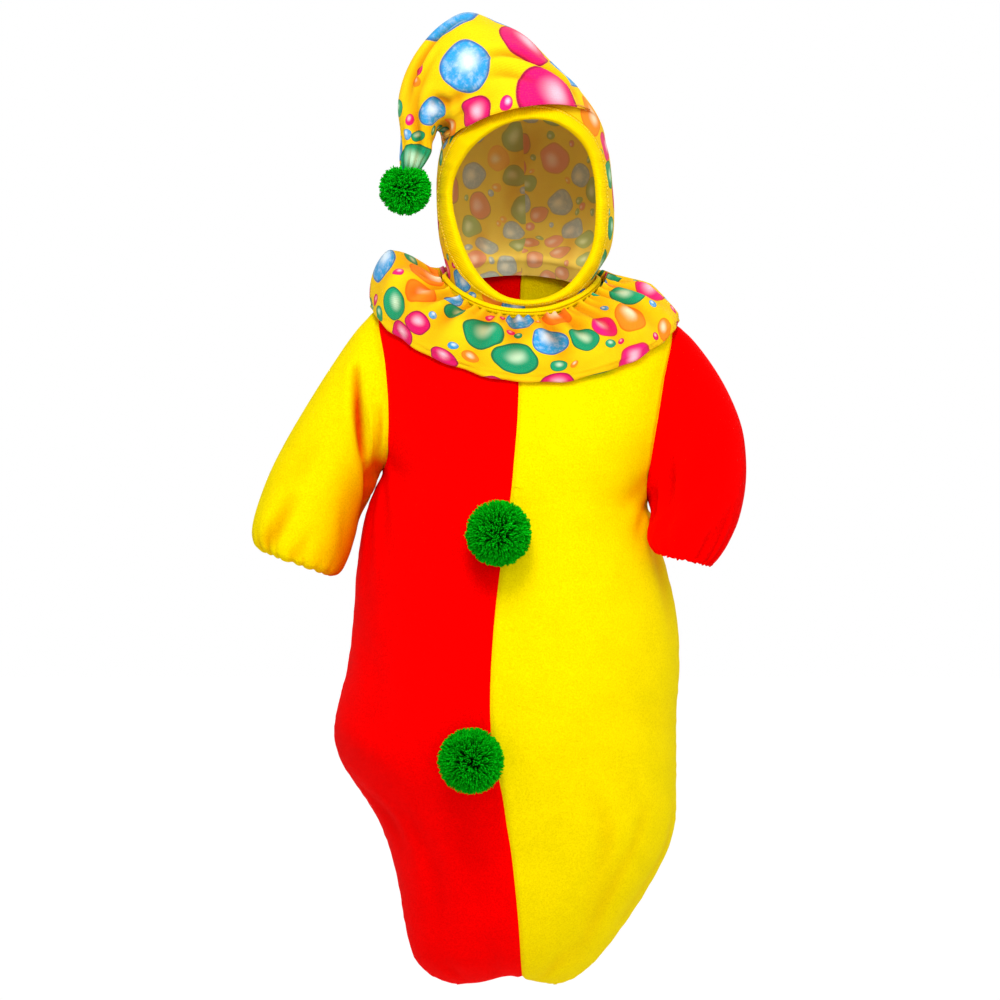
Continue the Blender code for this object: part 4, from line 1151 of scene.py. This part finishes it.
def makeHood(points, normal, trough):
    piece = shapedGrid("printedHood", points, normal, trough, wrap=False)
    evenCloth(piece)
    giveCloth(piece, slotCloths["printed_cloth"])
    inEditMode(piece, mergeDoubles)
    giveWall(piece, hoodShape["wall"])
    # the face opening is cut by a block of its outline
    steps = hoodShape["openingSteps"]
    outline = closedCurve(openingRows, steps)[:, :2] * mm
    bpy.ops.object.select_all(action="DESELECT")
    bpy.ops.mesh.primitive_circle_add(vertices=steps, radius=0.05, fill_type="NGON", location=(0, 0, 0))
    cutter = bpy.context.object
    ring = np.column_stack([outline[:, 0], np.full(steps, -0.15), outline[:, 1]])
    cutter.data.vertices.foreach_set("co", ring.ravel())
    cutter.data.update()
    inEditMode(cutter, extrudeBack, pointOutwards)
    cutter.data.materials.append(slotCloths["printed_cloth"][0])
    cut = piece.modifiers.new("face opening", "BOOLEAN")
    cut.operation = "DIFFERENCE"
    cut.solver = "EXACT"
    cut.object = cutter
    applyModifier(piece, cut)
    bpy.data.objects.remove(cutter)
    smoothPiece(piece)
    declare(piece, "hood")


hoodPoints, hoodNormals, hoodPaintedShade = hoodSurface()
makeHood(hoodPoints, hoodNormals, hoodPaintedShade)
print("hood made")


# Binding round the face: a knit strip folded over the cut edge and stitched
bindingShape = {
    "steps": 300,
    "columns": 44,
    "wall": 0.85,
    "grooveRow": 12,
    # across the strip: share of its width, extra outwards, and lift off the hood
    "section": (
        (0.55, 0.0, -2.9),
        (0.3, 0.0, -3.1),
        (0.08, 0.0, -3.0),
        (0.0, -0.3, -2.4),
        (0.0, -0.6, -1.0),
        (0.0, -0.65, 0.4),
        (0.0, -0.4, 1.9),
        (0.05, -0.1, 2.75),
        (0.2, 0.0, 3.15),
        (0.42, 0.0, 3.2),
        (0.6, 0.0, 2.85),
        (0.72, 0.0, 2.3),
        (0.78, 0.0, 2.15),
        (0.83, 0.0, 2.45),
        (0.9, 0.0, 2.35),
        (0.94, 0.0, 1.9),
        (0.95, 0.0, 1.2),
        (0.92, 0.0, 0.95),
    ),
}
stitchShape = {
    "pitch": 3.1,
    "length": 2.3,
    "radius": 0.34,
    "sides": 6,
    # along one stitch: share of its length, share of its thickness, and rise
    "section": (
        *((-0.5, 0.25, -0.5), (-0.38, 0.85, 0), (-0.12, 1, 0.55)),
        *((0.12, 1, 0.55), (0.38, 0.85, 0), (0.5, 0.25, -0.5)),
    ),
}


def hoodFront():
    # the hood's front below the lip, as seen from the front
    tree = gridTree(hoodPoints[: 9 * hoodShape["rowsPerSection"] + 1])

    def surfaceAt(x, z):
        place, normal, _, _ = tree.ray_cast(Vector((x, -200, z)), Vector((0, 1, 0)))
        if place is None:
            place, normal, _, _ = tree.find_nearest(Vector((x, -20, z)))
        return np.array(place), np.array(normal if normal.y < 0 else -normal)

    return surfaceAt


def makeBinding():
    steps = bindingShape["steps"]
    curve = closedCurve(openingRows, steps)
    surfaceAt = hoodFront()
    tangent = unit(np.roll(curve[:, :2], -1, axis=0) - np.roll(curve[:, :2], 1, axis=0))
    away = np.stack([-tangent[:, 1], tangent[:, 0]], axis=1)
    table = np.array(bindingShape["section"])
    section = smoothBetween(table, np.linspace(0, len(table) - 1, bindingShape["columns"]))
    share, extra, rise = section.T
    base = np.zeros((steps, len(section), 3))
    ways = np.zeros_like(base)
    for i in range(steps):
        for j in range(len(section)):
            spot = curve[i, :2] + away[i] * (share[j] * curve[i, 2] + extra[j])
            base[i, j], ways[i, j] = surfaceAt(*spot)
    for _ in range(4):
        base[..., 1] = evened(base[..., 1])
        ways = unit(evened(ways))
    angle = np.linspace(0, fullTurn, steps, endpoint=False)
    ripple = 0.22 * np.sin(23 * angle + 1.3 * np.sin(5 * angle)) + 0.16 * np.sin(41 * angle + 2.0)
    lift = rise + ripple[:, None] * ease(rise, 0.5, 2.2)
    points = base + ways * lift[..., None]
    points = np.concatenate([points, points[:1]])
    along, widths = runningLength(points).mean(axis=1), runningLength(points[10])
    cloth = np.stack(np.meshgrid(along, widths, indexing="ij"), axis=-1)
    outwards = np.cross(np.gradient(points, axis=0), np.gradient(points, axis=1))
    outwards = unit(outwards if outwards[:, 26, 1].mean() < 0 else -outwards)
    # painted shadow under the hood's lip along the strip's outer edge at the top, and painted shade in the
    # groove near that edge
    lipShadow = ease(share, 0.78, 0.95) * ease(curve[:, 1:2], 96, 128)
    trough = np.maximum(lipShadow, 0.35 * hump(share, 0.78, 0.045)) * (rise > 0.5)
    piece = shapedGrid("faceBinding", points, outwards, np.concatenate([trough, trough[:1]]), cloth)
    giveWall(piece, bindingShape["wall"])
    giveCloth(piece, slotCloths["yellow_binding"])
    declare(piece, "face_binding")
    groove = round(bindingShape["grooveRow"] / (len(table) - 1) * (len(section) - 1))
    return points[:-1, groove] + outwards[:-1, groove] * 0.15, outwards[:-1, groove]


def makeStitches(line, normals):
    # short threads laid end to end in the groove near the strip's outer edge
    closed, ways = np.concatenate([line, line[:1]]), np.concatenate([normals, normals[:1]])
    reach = runningLength(closed)
    count = int(reach[-1] // stitchShape["pitch"])
    sides, radius = stitchShape["sides"], stitchShape["radius"]
    shares, sizes, rises = np.array(stitchShape["section"]).T
    points, faces = [], []
    for k in range(count):
        spots = (reach[-1] * k / count + shares * stitchShape["length"]) % reach[-1]
        at = np.stack([np.interp(spots, reach, closed[:, a]) for a in range(3)], axis=-1)
        up = unit(np.stack([np.interp(spots, reach, ways[:, a]) for a in range(3)], axis=-1))
        side = unit(np.cross(unit(np.gradient(at, axis=0)), up))
        start = len(points)
        for r in range(len(spots)):
            for s in range(sides):
                angle = fullTurn * s / sides
                off = side[r] * math.cos(angle) + up[r] * math.sin(angle)
                points.append(at[r] + up[r] * rises[r] * radius + off * radius * sizes[r])
        for r in range(len(spots) - 1):
            for s in range(sides):
                a, b = start + r * sides + s, start + r * sides + (s + 1) % sides
                faces.append((a, b, b + sides, a + sides))
        faces.append(tuple(start + s for s in reversed(range(sides))))
        faces.append(tuple(start + (len(spots) - 1) * sides + s for s in range(sides)))
    piece = threadPiece("bindingStitches", np.array(points), faces)
    giveCloth(piece, [sewingThread], 80)
    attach(piece, "root")


stitchLine, stitchWays = makeBinding()
makeStitches(stitchLine, stitchWays)
print("binding made")

# Neck band: folded knit that stands on the neckline in soft rolls
bandShape = {
    "steps": 260,
    "lean": math.radians(21),
    "foot": 0.35,
    "top": 8.9,
    "folds": (2.9, 6.0),
    "rollDepth": 0.75,
    "wander": 0.5,
    # outside and inside: distance out from the neckline, and height
    "outside": ((0.0, 0.35), (0.8, 3.6), (0.5, 7.2), (-1.2, 8.9)),
    "inside": ((-2.2, 8.9), (-2.9, 8.0), (-3.1, 6.0), (-3.1, 3.8), (-3.0, 1.8), (-2.9, 0.35), (-1.5, 0.25)),
}


def makeBand():
    turns = np.linspace(0, fullTurn, bandShape["steps"] + 1)
    line = bodyPoint(0.0, turns)
    up = np.array([0, -math.sin(bandShape["lean"]), math.cos(bandShape["lean"])])
    out = line - line[:-1].mean(axis=0)
    out = unit(out - np.outer(out @ up, up))
    foot, top = bandShape["foot"], bandShape["top"]
    rises = np.linspace(foot, top, 34)
    flares, heights = np.array(bandShape["outside"]).T
    profile = []
    for turn in turns:
        shift = bandShape["wander"] * (math.sin(3 * turn + 0.8) + 0.6 * math.sin(7 * turn))
        edges = [foot, bandShape["folds"][0] + shift, bandShape["folds"][1] + 0.8 * shift, top]
        roll = np.zeros(len(rises))
        for low, high in zip(edges[:-1], edges[1:]):
            share = np.clip((rises - low) / (high - low), 0, 1)
            inRoll = (rises >= low) & (rises <= high)
            roll = np.maximum(roll, np.where(inRoll, np.sin(math.pi * share) ** 0.45, 0))
        pucker = 0.05 * math.sin(17 * turn + 2 * math.sin(4 * turn))
        outer = np.interp(rises, heights, flares) + bandShape["rollDepth"] * (roll - 0.6) + pucker
        outside = np.column_stack([outer, rises])
        profile.append(np.concatenate([outside, bandShape["inside"], outside[:1]]))
    profile = np.array(profile)
    points = line[:, None] + out[:, None] * profile[..., :1] + up * profile[..., 1:]
    points[-1] = points[0]
    points[:, -1] = points[:, 0]
    cloth = np.stack(np.meshgrid(runningLength(line), runningLength(points[3]), indexing="ij"), axis=-1)
    away = unit(points - points.mean(axis=1, keepdims=True))
    # painted shade in the grooves between the band's rolls
    grooveShade = 0.6 * np.clip(np.gradient(np.gradient(profile[..., 0], axis=1), axis=1) / 0.12, 0, 1)
    piece = shapedGrid("neckBand", points, away, grooveShade, cloth)
    giveCloth(piece, slotCloths["yellow_binding"])
    declare(piece, "neck_band")


makeBand()
print("neck band made")

# Collar: printed cloth doubled at its outer edge and gathered at the neck
# each row has a share of a turn, the sack's row at the edge, the puff and where the puff is highest
collarRows = np.array(
    (
        (0.00, 1.95, 9, 0.50),
        (0.08, 1.96, 10, 0.50),
        (0.25, 1.95, 9, 0.55),
        (0.40, 1.96, 13, 0.60),
        (0.47, 1.97, 23, 0.56),
        (0.50, 1.97, 29.5, 0.56),
        (0.54, 1.98, 24, 0.56),
        (0.60, 2.00, 14, 0.60),
        (0.68, 2.02, 10, 0.60),
        (0.75, 2.04, 9, 0.60),
        (0.82, 2.04, 9, 0.60),
        (0.90, 2.02, 10, 0.55),
        (0.96, 1.96, 9, 0.52),
        (1.00, 1.95, 9, 0.50),
    )
)
# gathers and folds: degrees round at the neck, where they end, drift, depth, width at neck and end
collarFolds = (
    (184, 0.55, 3, 3.4, 2.2, 6),
    (191, 0.95, 2, 2.2, 2.4, 8),
    (199, 0.42, -3, 3.6, 2.0, 5),
    (206, 1.00, 4, 3.8, 2.4, 9),
    (214, 0.38, 2, 2.6, 2.0, 5),
    (219, 0.80, -2, 3.4, 2.2, 7),
    (226, 0.34, 1, 2.4, 1.8, 4),
    (233, 0.98, -4, 4.2, 2.4, 9),
    (240, 0.45, 2, 2.8, 2.0, 5),
    (247, 0.60, -2, 3.2, 2.2, 6),
    (252, 1.00, -3, 3.0, 2.2, 8),
    (258, 0.36, 1, 3.2, 1.9, 4),
    (264, 0.88, 2, 4.0, 2.4, 8),
    (271, 0.50, 1, 2.8, 2.0, 5),
    (277, 0.34, -1, 3.0, 1.8, 4),
    (283, 1.00, 3, 4.4, 2.4, 9),
    (290, 0.42, 2, 2.8, 1.9, 5),
    (296, 0.75, 3, 4.0, 2.2, 7),
    (303, 0.40, 1, 3.0, 2.0, 5),
    (309, 1.00, 4, 4.4, 2.4, 9),
    (317, 0.55, 3, 3.4, 2.1, 6),
    (323, 0.36, 1, 2.6, 1.8, 4),
    (330, 0.95, 3, 3.8, 2.4, 8),
    (338, 0.46, 1, 2.9, 2.0, 5),
    (346, 0.85, 2, 3.4, 2.2, 8),
    (354, 0.40, 0, 2.8, 2.0, 5),
    (3, 1.00, -2, 3.6, 2.4, 9),
    (12, 0.50, 1, 3.0, 2.0, 6),
    (20, 0.85, 2, 3.4, 2.2, 8),
    (29, 0.40, -1, 2.8, 1.9, 5),
    (37, 1.00, 2, 3.8, 2.4, 9),
    (46, 0.48, 1, 3.0, 2.0, 5),
    (54, 0.90, -2, 3.6, 2.3, 8),
    (63, 0.38, 1, 2.8, 1.9, 5),
    (71, 1.00, 2, 3.8, 2.4, 9),
    (80, 0.52, -1, 3.0, 2.0, 6),
    (88, 0.80, 1, 3.4, 2.2, 7),
    (96, 0.40, 1, 2.8, 1.9, 5),
    (105, 1.00, -2, 3.8, 2.4, 9),
    (114, 0.50, 1, 3.0, 2.0, 6),
    (123, 0.90, 2, 3.4, 2.2, 8),
    (132, 0.40, -1, 2.8, 1.9, 5),
    (140, 1.00, 2, 3.6, 2.4, 9),
    (149, 0.50, 1, 3.0, 2.0, 6),
    (158, 0.85, -2, 3.4, 2.2, 8),
    (167, 0.45, 1, 3.0, 2.0, 5),
    (175, 0.70, 2, 3.2, 2.2, 7),
)
collarShape = {
    "steps": 420,
    "neckLength": 351,
    "lengthGain": 240,
    "clothWidth": 560,
    "startRow": 0.1,
    "clearance": 0.9,
    "foldRadius": 2.9,
    "plies": 3.6,
    "foldDepth": 1.65,
    "wall": 1.25,
}


def collarWave(turn):
    drift = turn + 0.05 * np.sin(3 * turn + 0.7) + 0.03 * np.sin(7 * turn + 2.1)
    return (1 + np.cos(20 * drift)) / 2


def makeCollar():
    turns = np.linspace(0, fullTurn, collarShape["steps"] + 1) - math.pi * 1.5
    before, after = collarRows[-2:-1] - [1, 0, 0, 0], collarRows[1:2] + [1, 0, 0, 0]
    dense = smoothBetween(np.concatenate([before, collarRows, after]), np.linspace(1, len(collarRows), 400))
    turnShare = (turns / fullTurn) % 1.0
    edgeRow, puff, crest = (np.interp(turnShare, dense[:, 0], dense[:, column]) for column in (1, 2, 3))
    base, radius, start = collarShape["clearance"], collarShape["foldRadius"], collarShape["startRow"]
    topShares = np.concatenate([np.linspace(0, 0.86, 27), [0.9, 0.93, 0.955, 0.975]])
    underShares = np.array([0.97, 0.9, 0.8, 0.65, 0.5, 0.36, 0.22, 0.1, 0.0])
    degrees = np.degrees(turns) % 360
    wave = 0.25 * collarWave(turns) + 0.35 * (1 + np.sin(13 * turns + 1.4 * np.sin(4 * turns))) / 2

    def spot(share, lift, beyond=0.0):
        row = start + (edgeRow - start) * share
        down = unit(bodyPoint(row + 0.02, turns) - bodyPoint(row - 0.02, turns))
        lift, beyond = (np.broadcast_to(value, turns.shape)[:, None] for value in (lift, beyond))
        return bodyPoint(row, turns) + bodyNormal(row, turns) * lift + down * beyond

    def topLift(share):
        girth = collarShape["neckLength"] + collarShape["lengthGain"] * share
        lift = base + collarShape["plies"] + 2.5 * share + 4.0 * wave * share + 4.6 * (1 - share) ** 2
        if 0 < share < 1:
            lift = lift + puff * np.sin(math.pi * share ** (math.log(0.5) / np.log(crest))) ** 1.2
        shadeInFold = np.zeros(len(turns))
        for at, reach, drift, depth, neckWidth, endWidth in collarFolds:
            arc = offMiddle(degrees, at + drift * share) / 360 * girth
            width = neckWidth + (endWidth - neckWidth) * min(share / reach, 1.0)
            half = reach * 0.5
            fade = 1.0 if share < half else max(0.0, 1 - (share - half) / (half + 0.06))
            ending = collarShape["foldDepth"] * depth * (1 - 0.3 * share) * fade
            lift = lift - ending * (hump(arc, 0, width) - 0.3 * hump(np.abs(arc), 2 * width, width))
            # painted shade in each fold
            shadeInFold = shadeInFold + ending / 6.0 * hump(arc, 0, width)
        lowest = base + 2.6
        return lowest + np.logaddexp(0, (lift - lowest) / 0.7) * 0.7, shadeInFold

    lifts, collarShades = zip(*(topLift(share) for share in topShares))
    ring = [spot(share, lift) for share, lift in zip(topShares, lifts)]
    brim, brimShade = topLift(1.0)
    ragged = 0.8 * np.sin(9 * turns + 1.1) * np.sin(4 * turns) + 0.5 * np.sin(23 * turns)
    foldMiddle = base + radius
    high = np.maximum(brim * 0.78, foldMiddle + radius * 0.85)
    ring.append(spot(1.0, high, radius * 0.2 + ragged))
    ring.append(spot(1.0, high * 0.6 + foldMiddle * 0.4 + 0.5, radius * 0.82 + ragged))
    ring.append(spot(1.0, foldMiddle, radius + ragged))
    ring.append(spot(1.0, base + radius * 0.35, radius * 0.62 + ragged))
    ring += [spot(share, base) for share in underShares]
    # painted shade in the brim's folds, and half painted shade over the collar's underside
    collarShades = [*collarShades, brimShade] + [brimShade * 0.6] * 3 + [np.full(len(turns), 0.5)] * len(underShares)
    places = np.linspace(0, len(ring) - 1, int(len(ring) * 1.35))
    points, trough = smoothBetween(ring, places), smoothBetween(collarShades, places)
    points[:, -1] = points[:, 0]
    along = runningLength(points).mean(axis=1)
    across = (turns + math.pi / 2) / fullTurn * collarShape["clothWidth"]
    cloth = np.stack(np.meshgrid(-along, across, indexing="ij")[::-1], axis=-1)
    normal = ringNormals(points)
    if np.sum(normal[10] * bodyNormal(1.0, turns)) < 0:
        normal = -normal
    piece = shapedGrid("printedCollar", points, normal, trough, cloth)
    giveWall(piece, collarShape["wall"])
    giveCloth(piece, slotCloths["printed_cloth"])
    declare(piece, "collar")


makeCollar()
print("collar made")

# Pompoms: cut yarn, each strand a tapering twist with a blunt end
pompoms = {
    "pompomChest": {"node": "pompom_chest", "x": -15, "z": -176.0, "radius": 25.4, "strands": 3300, "seed": 11},
    "pompomKnee": {"node": "pompom_knee", "x": -36, "z": -348.5, "radius": 25.4, "strands": 3300, "seed": 12},
    "pompomHood": {
        "node": "pompom_hood",
        "middle": (-86.5, -31, 85.2),
        "radius": 20.2,
        "strands": 2500,
        "seed": 13,
    },
}
yarnShape = {
    "width": 0.6,
    "sink": 0.74,
    "bareAbove": 0.86,
    "wander": 1.9,
    "shares": (0.3, 0.66, 0.87, 1.0),
    "widths": (0.5, 0.95, 1.15, 0.85),
}


def makePompom(name, settings, clothTree):
    chance = np.random.default_rng(settings["seed"])
    radius, count = settings["radius"], settings["strands"]
    inwards = Vector((0, 1, 0))
    resting = "x" in settings
    if resting:
        front, _, _, _ = clothTree.ray_cast(Vector((settings["x"], -300, settings["z"])), inwards)
        middle = np.array([settings["x"], front.y - yarnShape["sink"] * radius, settings["z"]])
    else:
        middle = np.array(settings["middle"], float)
    index = np.arange(count) + 0.5
    slope = np.arccos(1 - 2 * index / count)
    spin = math.pi * (1 + 5**0.5) * index
    ways = np.stack([np.cos(spin) * np.sin(slope), np.sin(spin) * np.sin(slope), np.cos(slope)], axis=-1)
    ways = unit(ways + chance.normal(0, 0.045, ways.shape))
    reach = radius * chance.uniform(0.9, 1.02, count)
    if resting:
        # strands against the cloth are cut shorter
        for k in range(count):
            while reach[k] > radius * 0.4:
                tip = middle + ways[k] * reach[k]
                behind, _, _, _ = clothTree.ray_cast(Vector((tip[0], -300, tip[2])), inwards)
                if behind is None or tip[1] + 1.2 < behind.y:
                    break
                reach[k] -= 0.5
    else:
        keep = ways[:, 2] < yarnShape["bareAbove"]
        ways, reach = ways[keep], reach[keep]
        count = len(ways)
    side = unit(np.cross(ways, chance.normal(0, 1, ways.shape)))
    other = np.cross(ways, side)
    curl = chance.uniform(0, fullTurn, count)
    bend = chance.normal(0, yarnShape["wander"], (count, 2))
    size = yarnShape["width"] * chance.uniform(0.8, 1.2, count)
    shares = np.array(yarnShape["shares"])
    levels = []
    for share, width in zip(shares, yarnShape["widths"]):
        strength = ((share - 0.3) / 0.7) ** 2
        wave = np.sin(share * 9 + curl) * 0.5 * strength
        centre = middle + ways * (reach * share)[:, None]
        centre = centre + side * (bend[:, 0] * strength + wave)[:, None]
        centre = centre + other * (bend[:, 1] * strength)[:, None]
        for s in range(3):
            angle = fullTurn * s / 3 + share * 5.0 + curl
            off = side * np.cos(angle)[:, None] + other * np.sin(angle)[:, None]
            levels.append(centre + off * (size * width)[:, None])
    points = np.stack(levels, axis=1)
    if resting:
        points[..., 1] = np.minimum(points[..., 1], middle[1] + yarnShape["sink"] * radius + 4.0)
    sides = []
    for r in range(0, 3 * len(shares) - 3, 3):
        for s in range(3):
            a, b = r + s, r + (s + 1) % 3
            sides.append((a, b, b + 3, a + 3))
    last = 3 * len(shares) - 3
    starts = (np.arange(count) * 3 * len(shares))[:, None, None]
    faces = (np.array(sides) + starts).reshape(-1, 4).tolist()
    faces += (np.array([(last, last + 1, last + 2), (2, 1, 0)]) + starts).reshape(-1, 3).tolist()
    piece = threadPiece(name, points.reshape(-1, 3), faces)
    tip = piece.data.attributes.new("tip", "FLOAT", "POINT")
    tip.data.foreach_set("value", np.tile(np.repeat(shares, 3), count))
    tone = piece.data.attributes.new("tone", "FLOAT", "POINT")
    tone.data.foreach_set("value", np.repeat(chance.uniform(0, 1, count), 3 * len(shares)))
    giveCloth(piece, slotCloths["green_yarn"], 70)
    declare(piece, settings["node"])


frontRows = np.linspace(bodyShape["shoulderRow"], bodyShape["lastRow"] - 1, 160)
frontTree = gridTree(bodyPoint(*np.meshgrid(frontRows, np.linspace(math.pi, fullTurn, 120), indexing="ij")))
for pompomName, pompomSettings in pompoms.items():
    makePompom(pompomName, pompomSettings, frontTree)
print("pompoms made")

# Floor, light and camera
studio = {
    "worldStrength": 0.68,
    "floorZ": -0.62,
    "key": {"place": (-0.12, -1.25, 1.05), "size": 0.7, "power": 19.5},
    "fill": {"place": (1.1, -2.3, 0.9), "size": 2.0, "power": 17.0},
    "back": {"place": (0.5, 2.6, 1.2), "size": 2.0, "power": 22.0},
    "lightTarget": (-0.014, 0.0, 0.0),
    "target": (-0.0139, 0.0, -0.154),
    "elevation": 1.7,
    "distance": 8.0,
    "lens": 374.0,
}
bpy.ops.object.select_all(action="DESELECT")
bpy.ops.mesh.primitive_plane_add(size=14.0, location=(0, 0, studio["floorZ"]))
floor = bpy.context.object
floor.name = "studioFloor"
floorLook = {"Base Color": (0.8, 0.8, 0.8, 1.0), "Roughness": 0.9, "Specular IOR Level": 0.1}
floorFinish = Finish("pale floor", floorLook)
floor.data.materials.append(floorFinish.material)


def whiteToCamera(nodes, plain, kind, strength, output):
    # the camera sees white, and everything else is lit by the plain shade
    white = nodes.node(kind, None, {0: (1.0, 1.0, 1.0, 1.0), 1: strength})
    seen = nodes.node("ShaderNodeLightPath")
    either = nodes.node("ShaderNodeMixShader", None, {0: seen, 1: Wire(nodes, plain.outputs[0]), 2: white})
    nodes.tree.links.new(either.socket, nodes.tree.nodes[output].inputs["Surface"])


world = bpy.data.worlds.new("studio") if bpy.context.scene.world is None else bpy.context.scene.world
bpy.context.scene.world = world
world.use_nodes = True
background = world.node_tree.nodes["Background"]
background.inputs[0].default_value = (1.0, 1.0, 1.0, 1.0)
background.inputs[1].default_value = studio["worldStrength"]
whiteToCamera(Nodes(world.node_tree), background, "ShaderNodeBackground", 1.0, "World Output")
whiteToCamera(floorFinish, floorFinish.shader, "ShaderNodeEmission", 1.02, "Material Output")

for lightName in ("key", "fill", "back"):
    settings = studio[lightName]
    bpy.ops.object.light_add(type="AREA", location=settings["place"])
    light = bpy.context.object
    light.name = lightName + "Light"
    light.data.shape = "DISK"
    light.data.size = settings["size"]
    light.data.energy = settings["power"]
    way = Vector(studio["lightTarget"]) - Vector(settings["place"])
    light.rotation_euler = way.to_track_quat("-Z", "Y").to_euler()

tilt = math.radians(studio["elevation"])
away = Vector((0, -math.cos(tilt), math.sin(tilt))) * studio["distance"]
bpy.ops.object.camera_add(location=Vector(studio["target"]) + away)
camera = bpy.context.object
camera.rotation_euler = (-away).to_track_quat("-Z", "Y").to_euler()
camera.data.sensor_width = 36.0
camera.data.lens = studio["lens"]
camera.data.clip_end = 50.0
bpy.context.scene.camera = camera
bpy.context.scene.view_settings.view_transform = "Standard"
print("studio made")
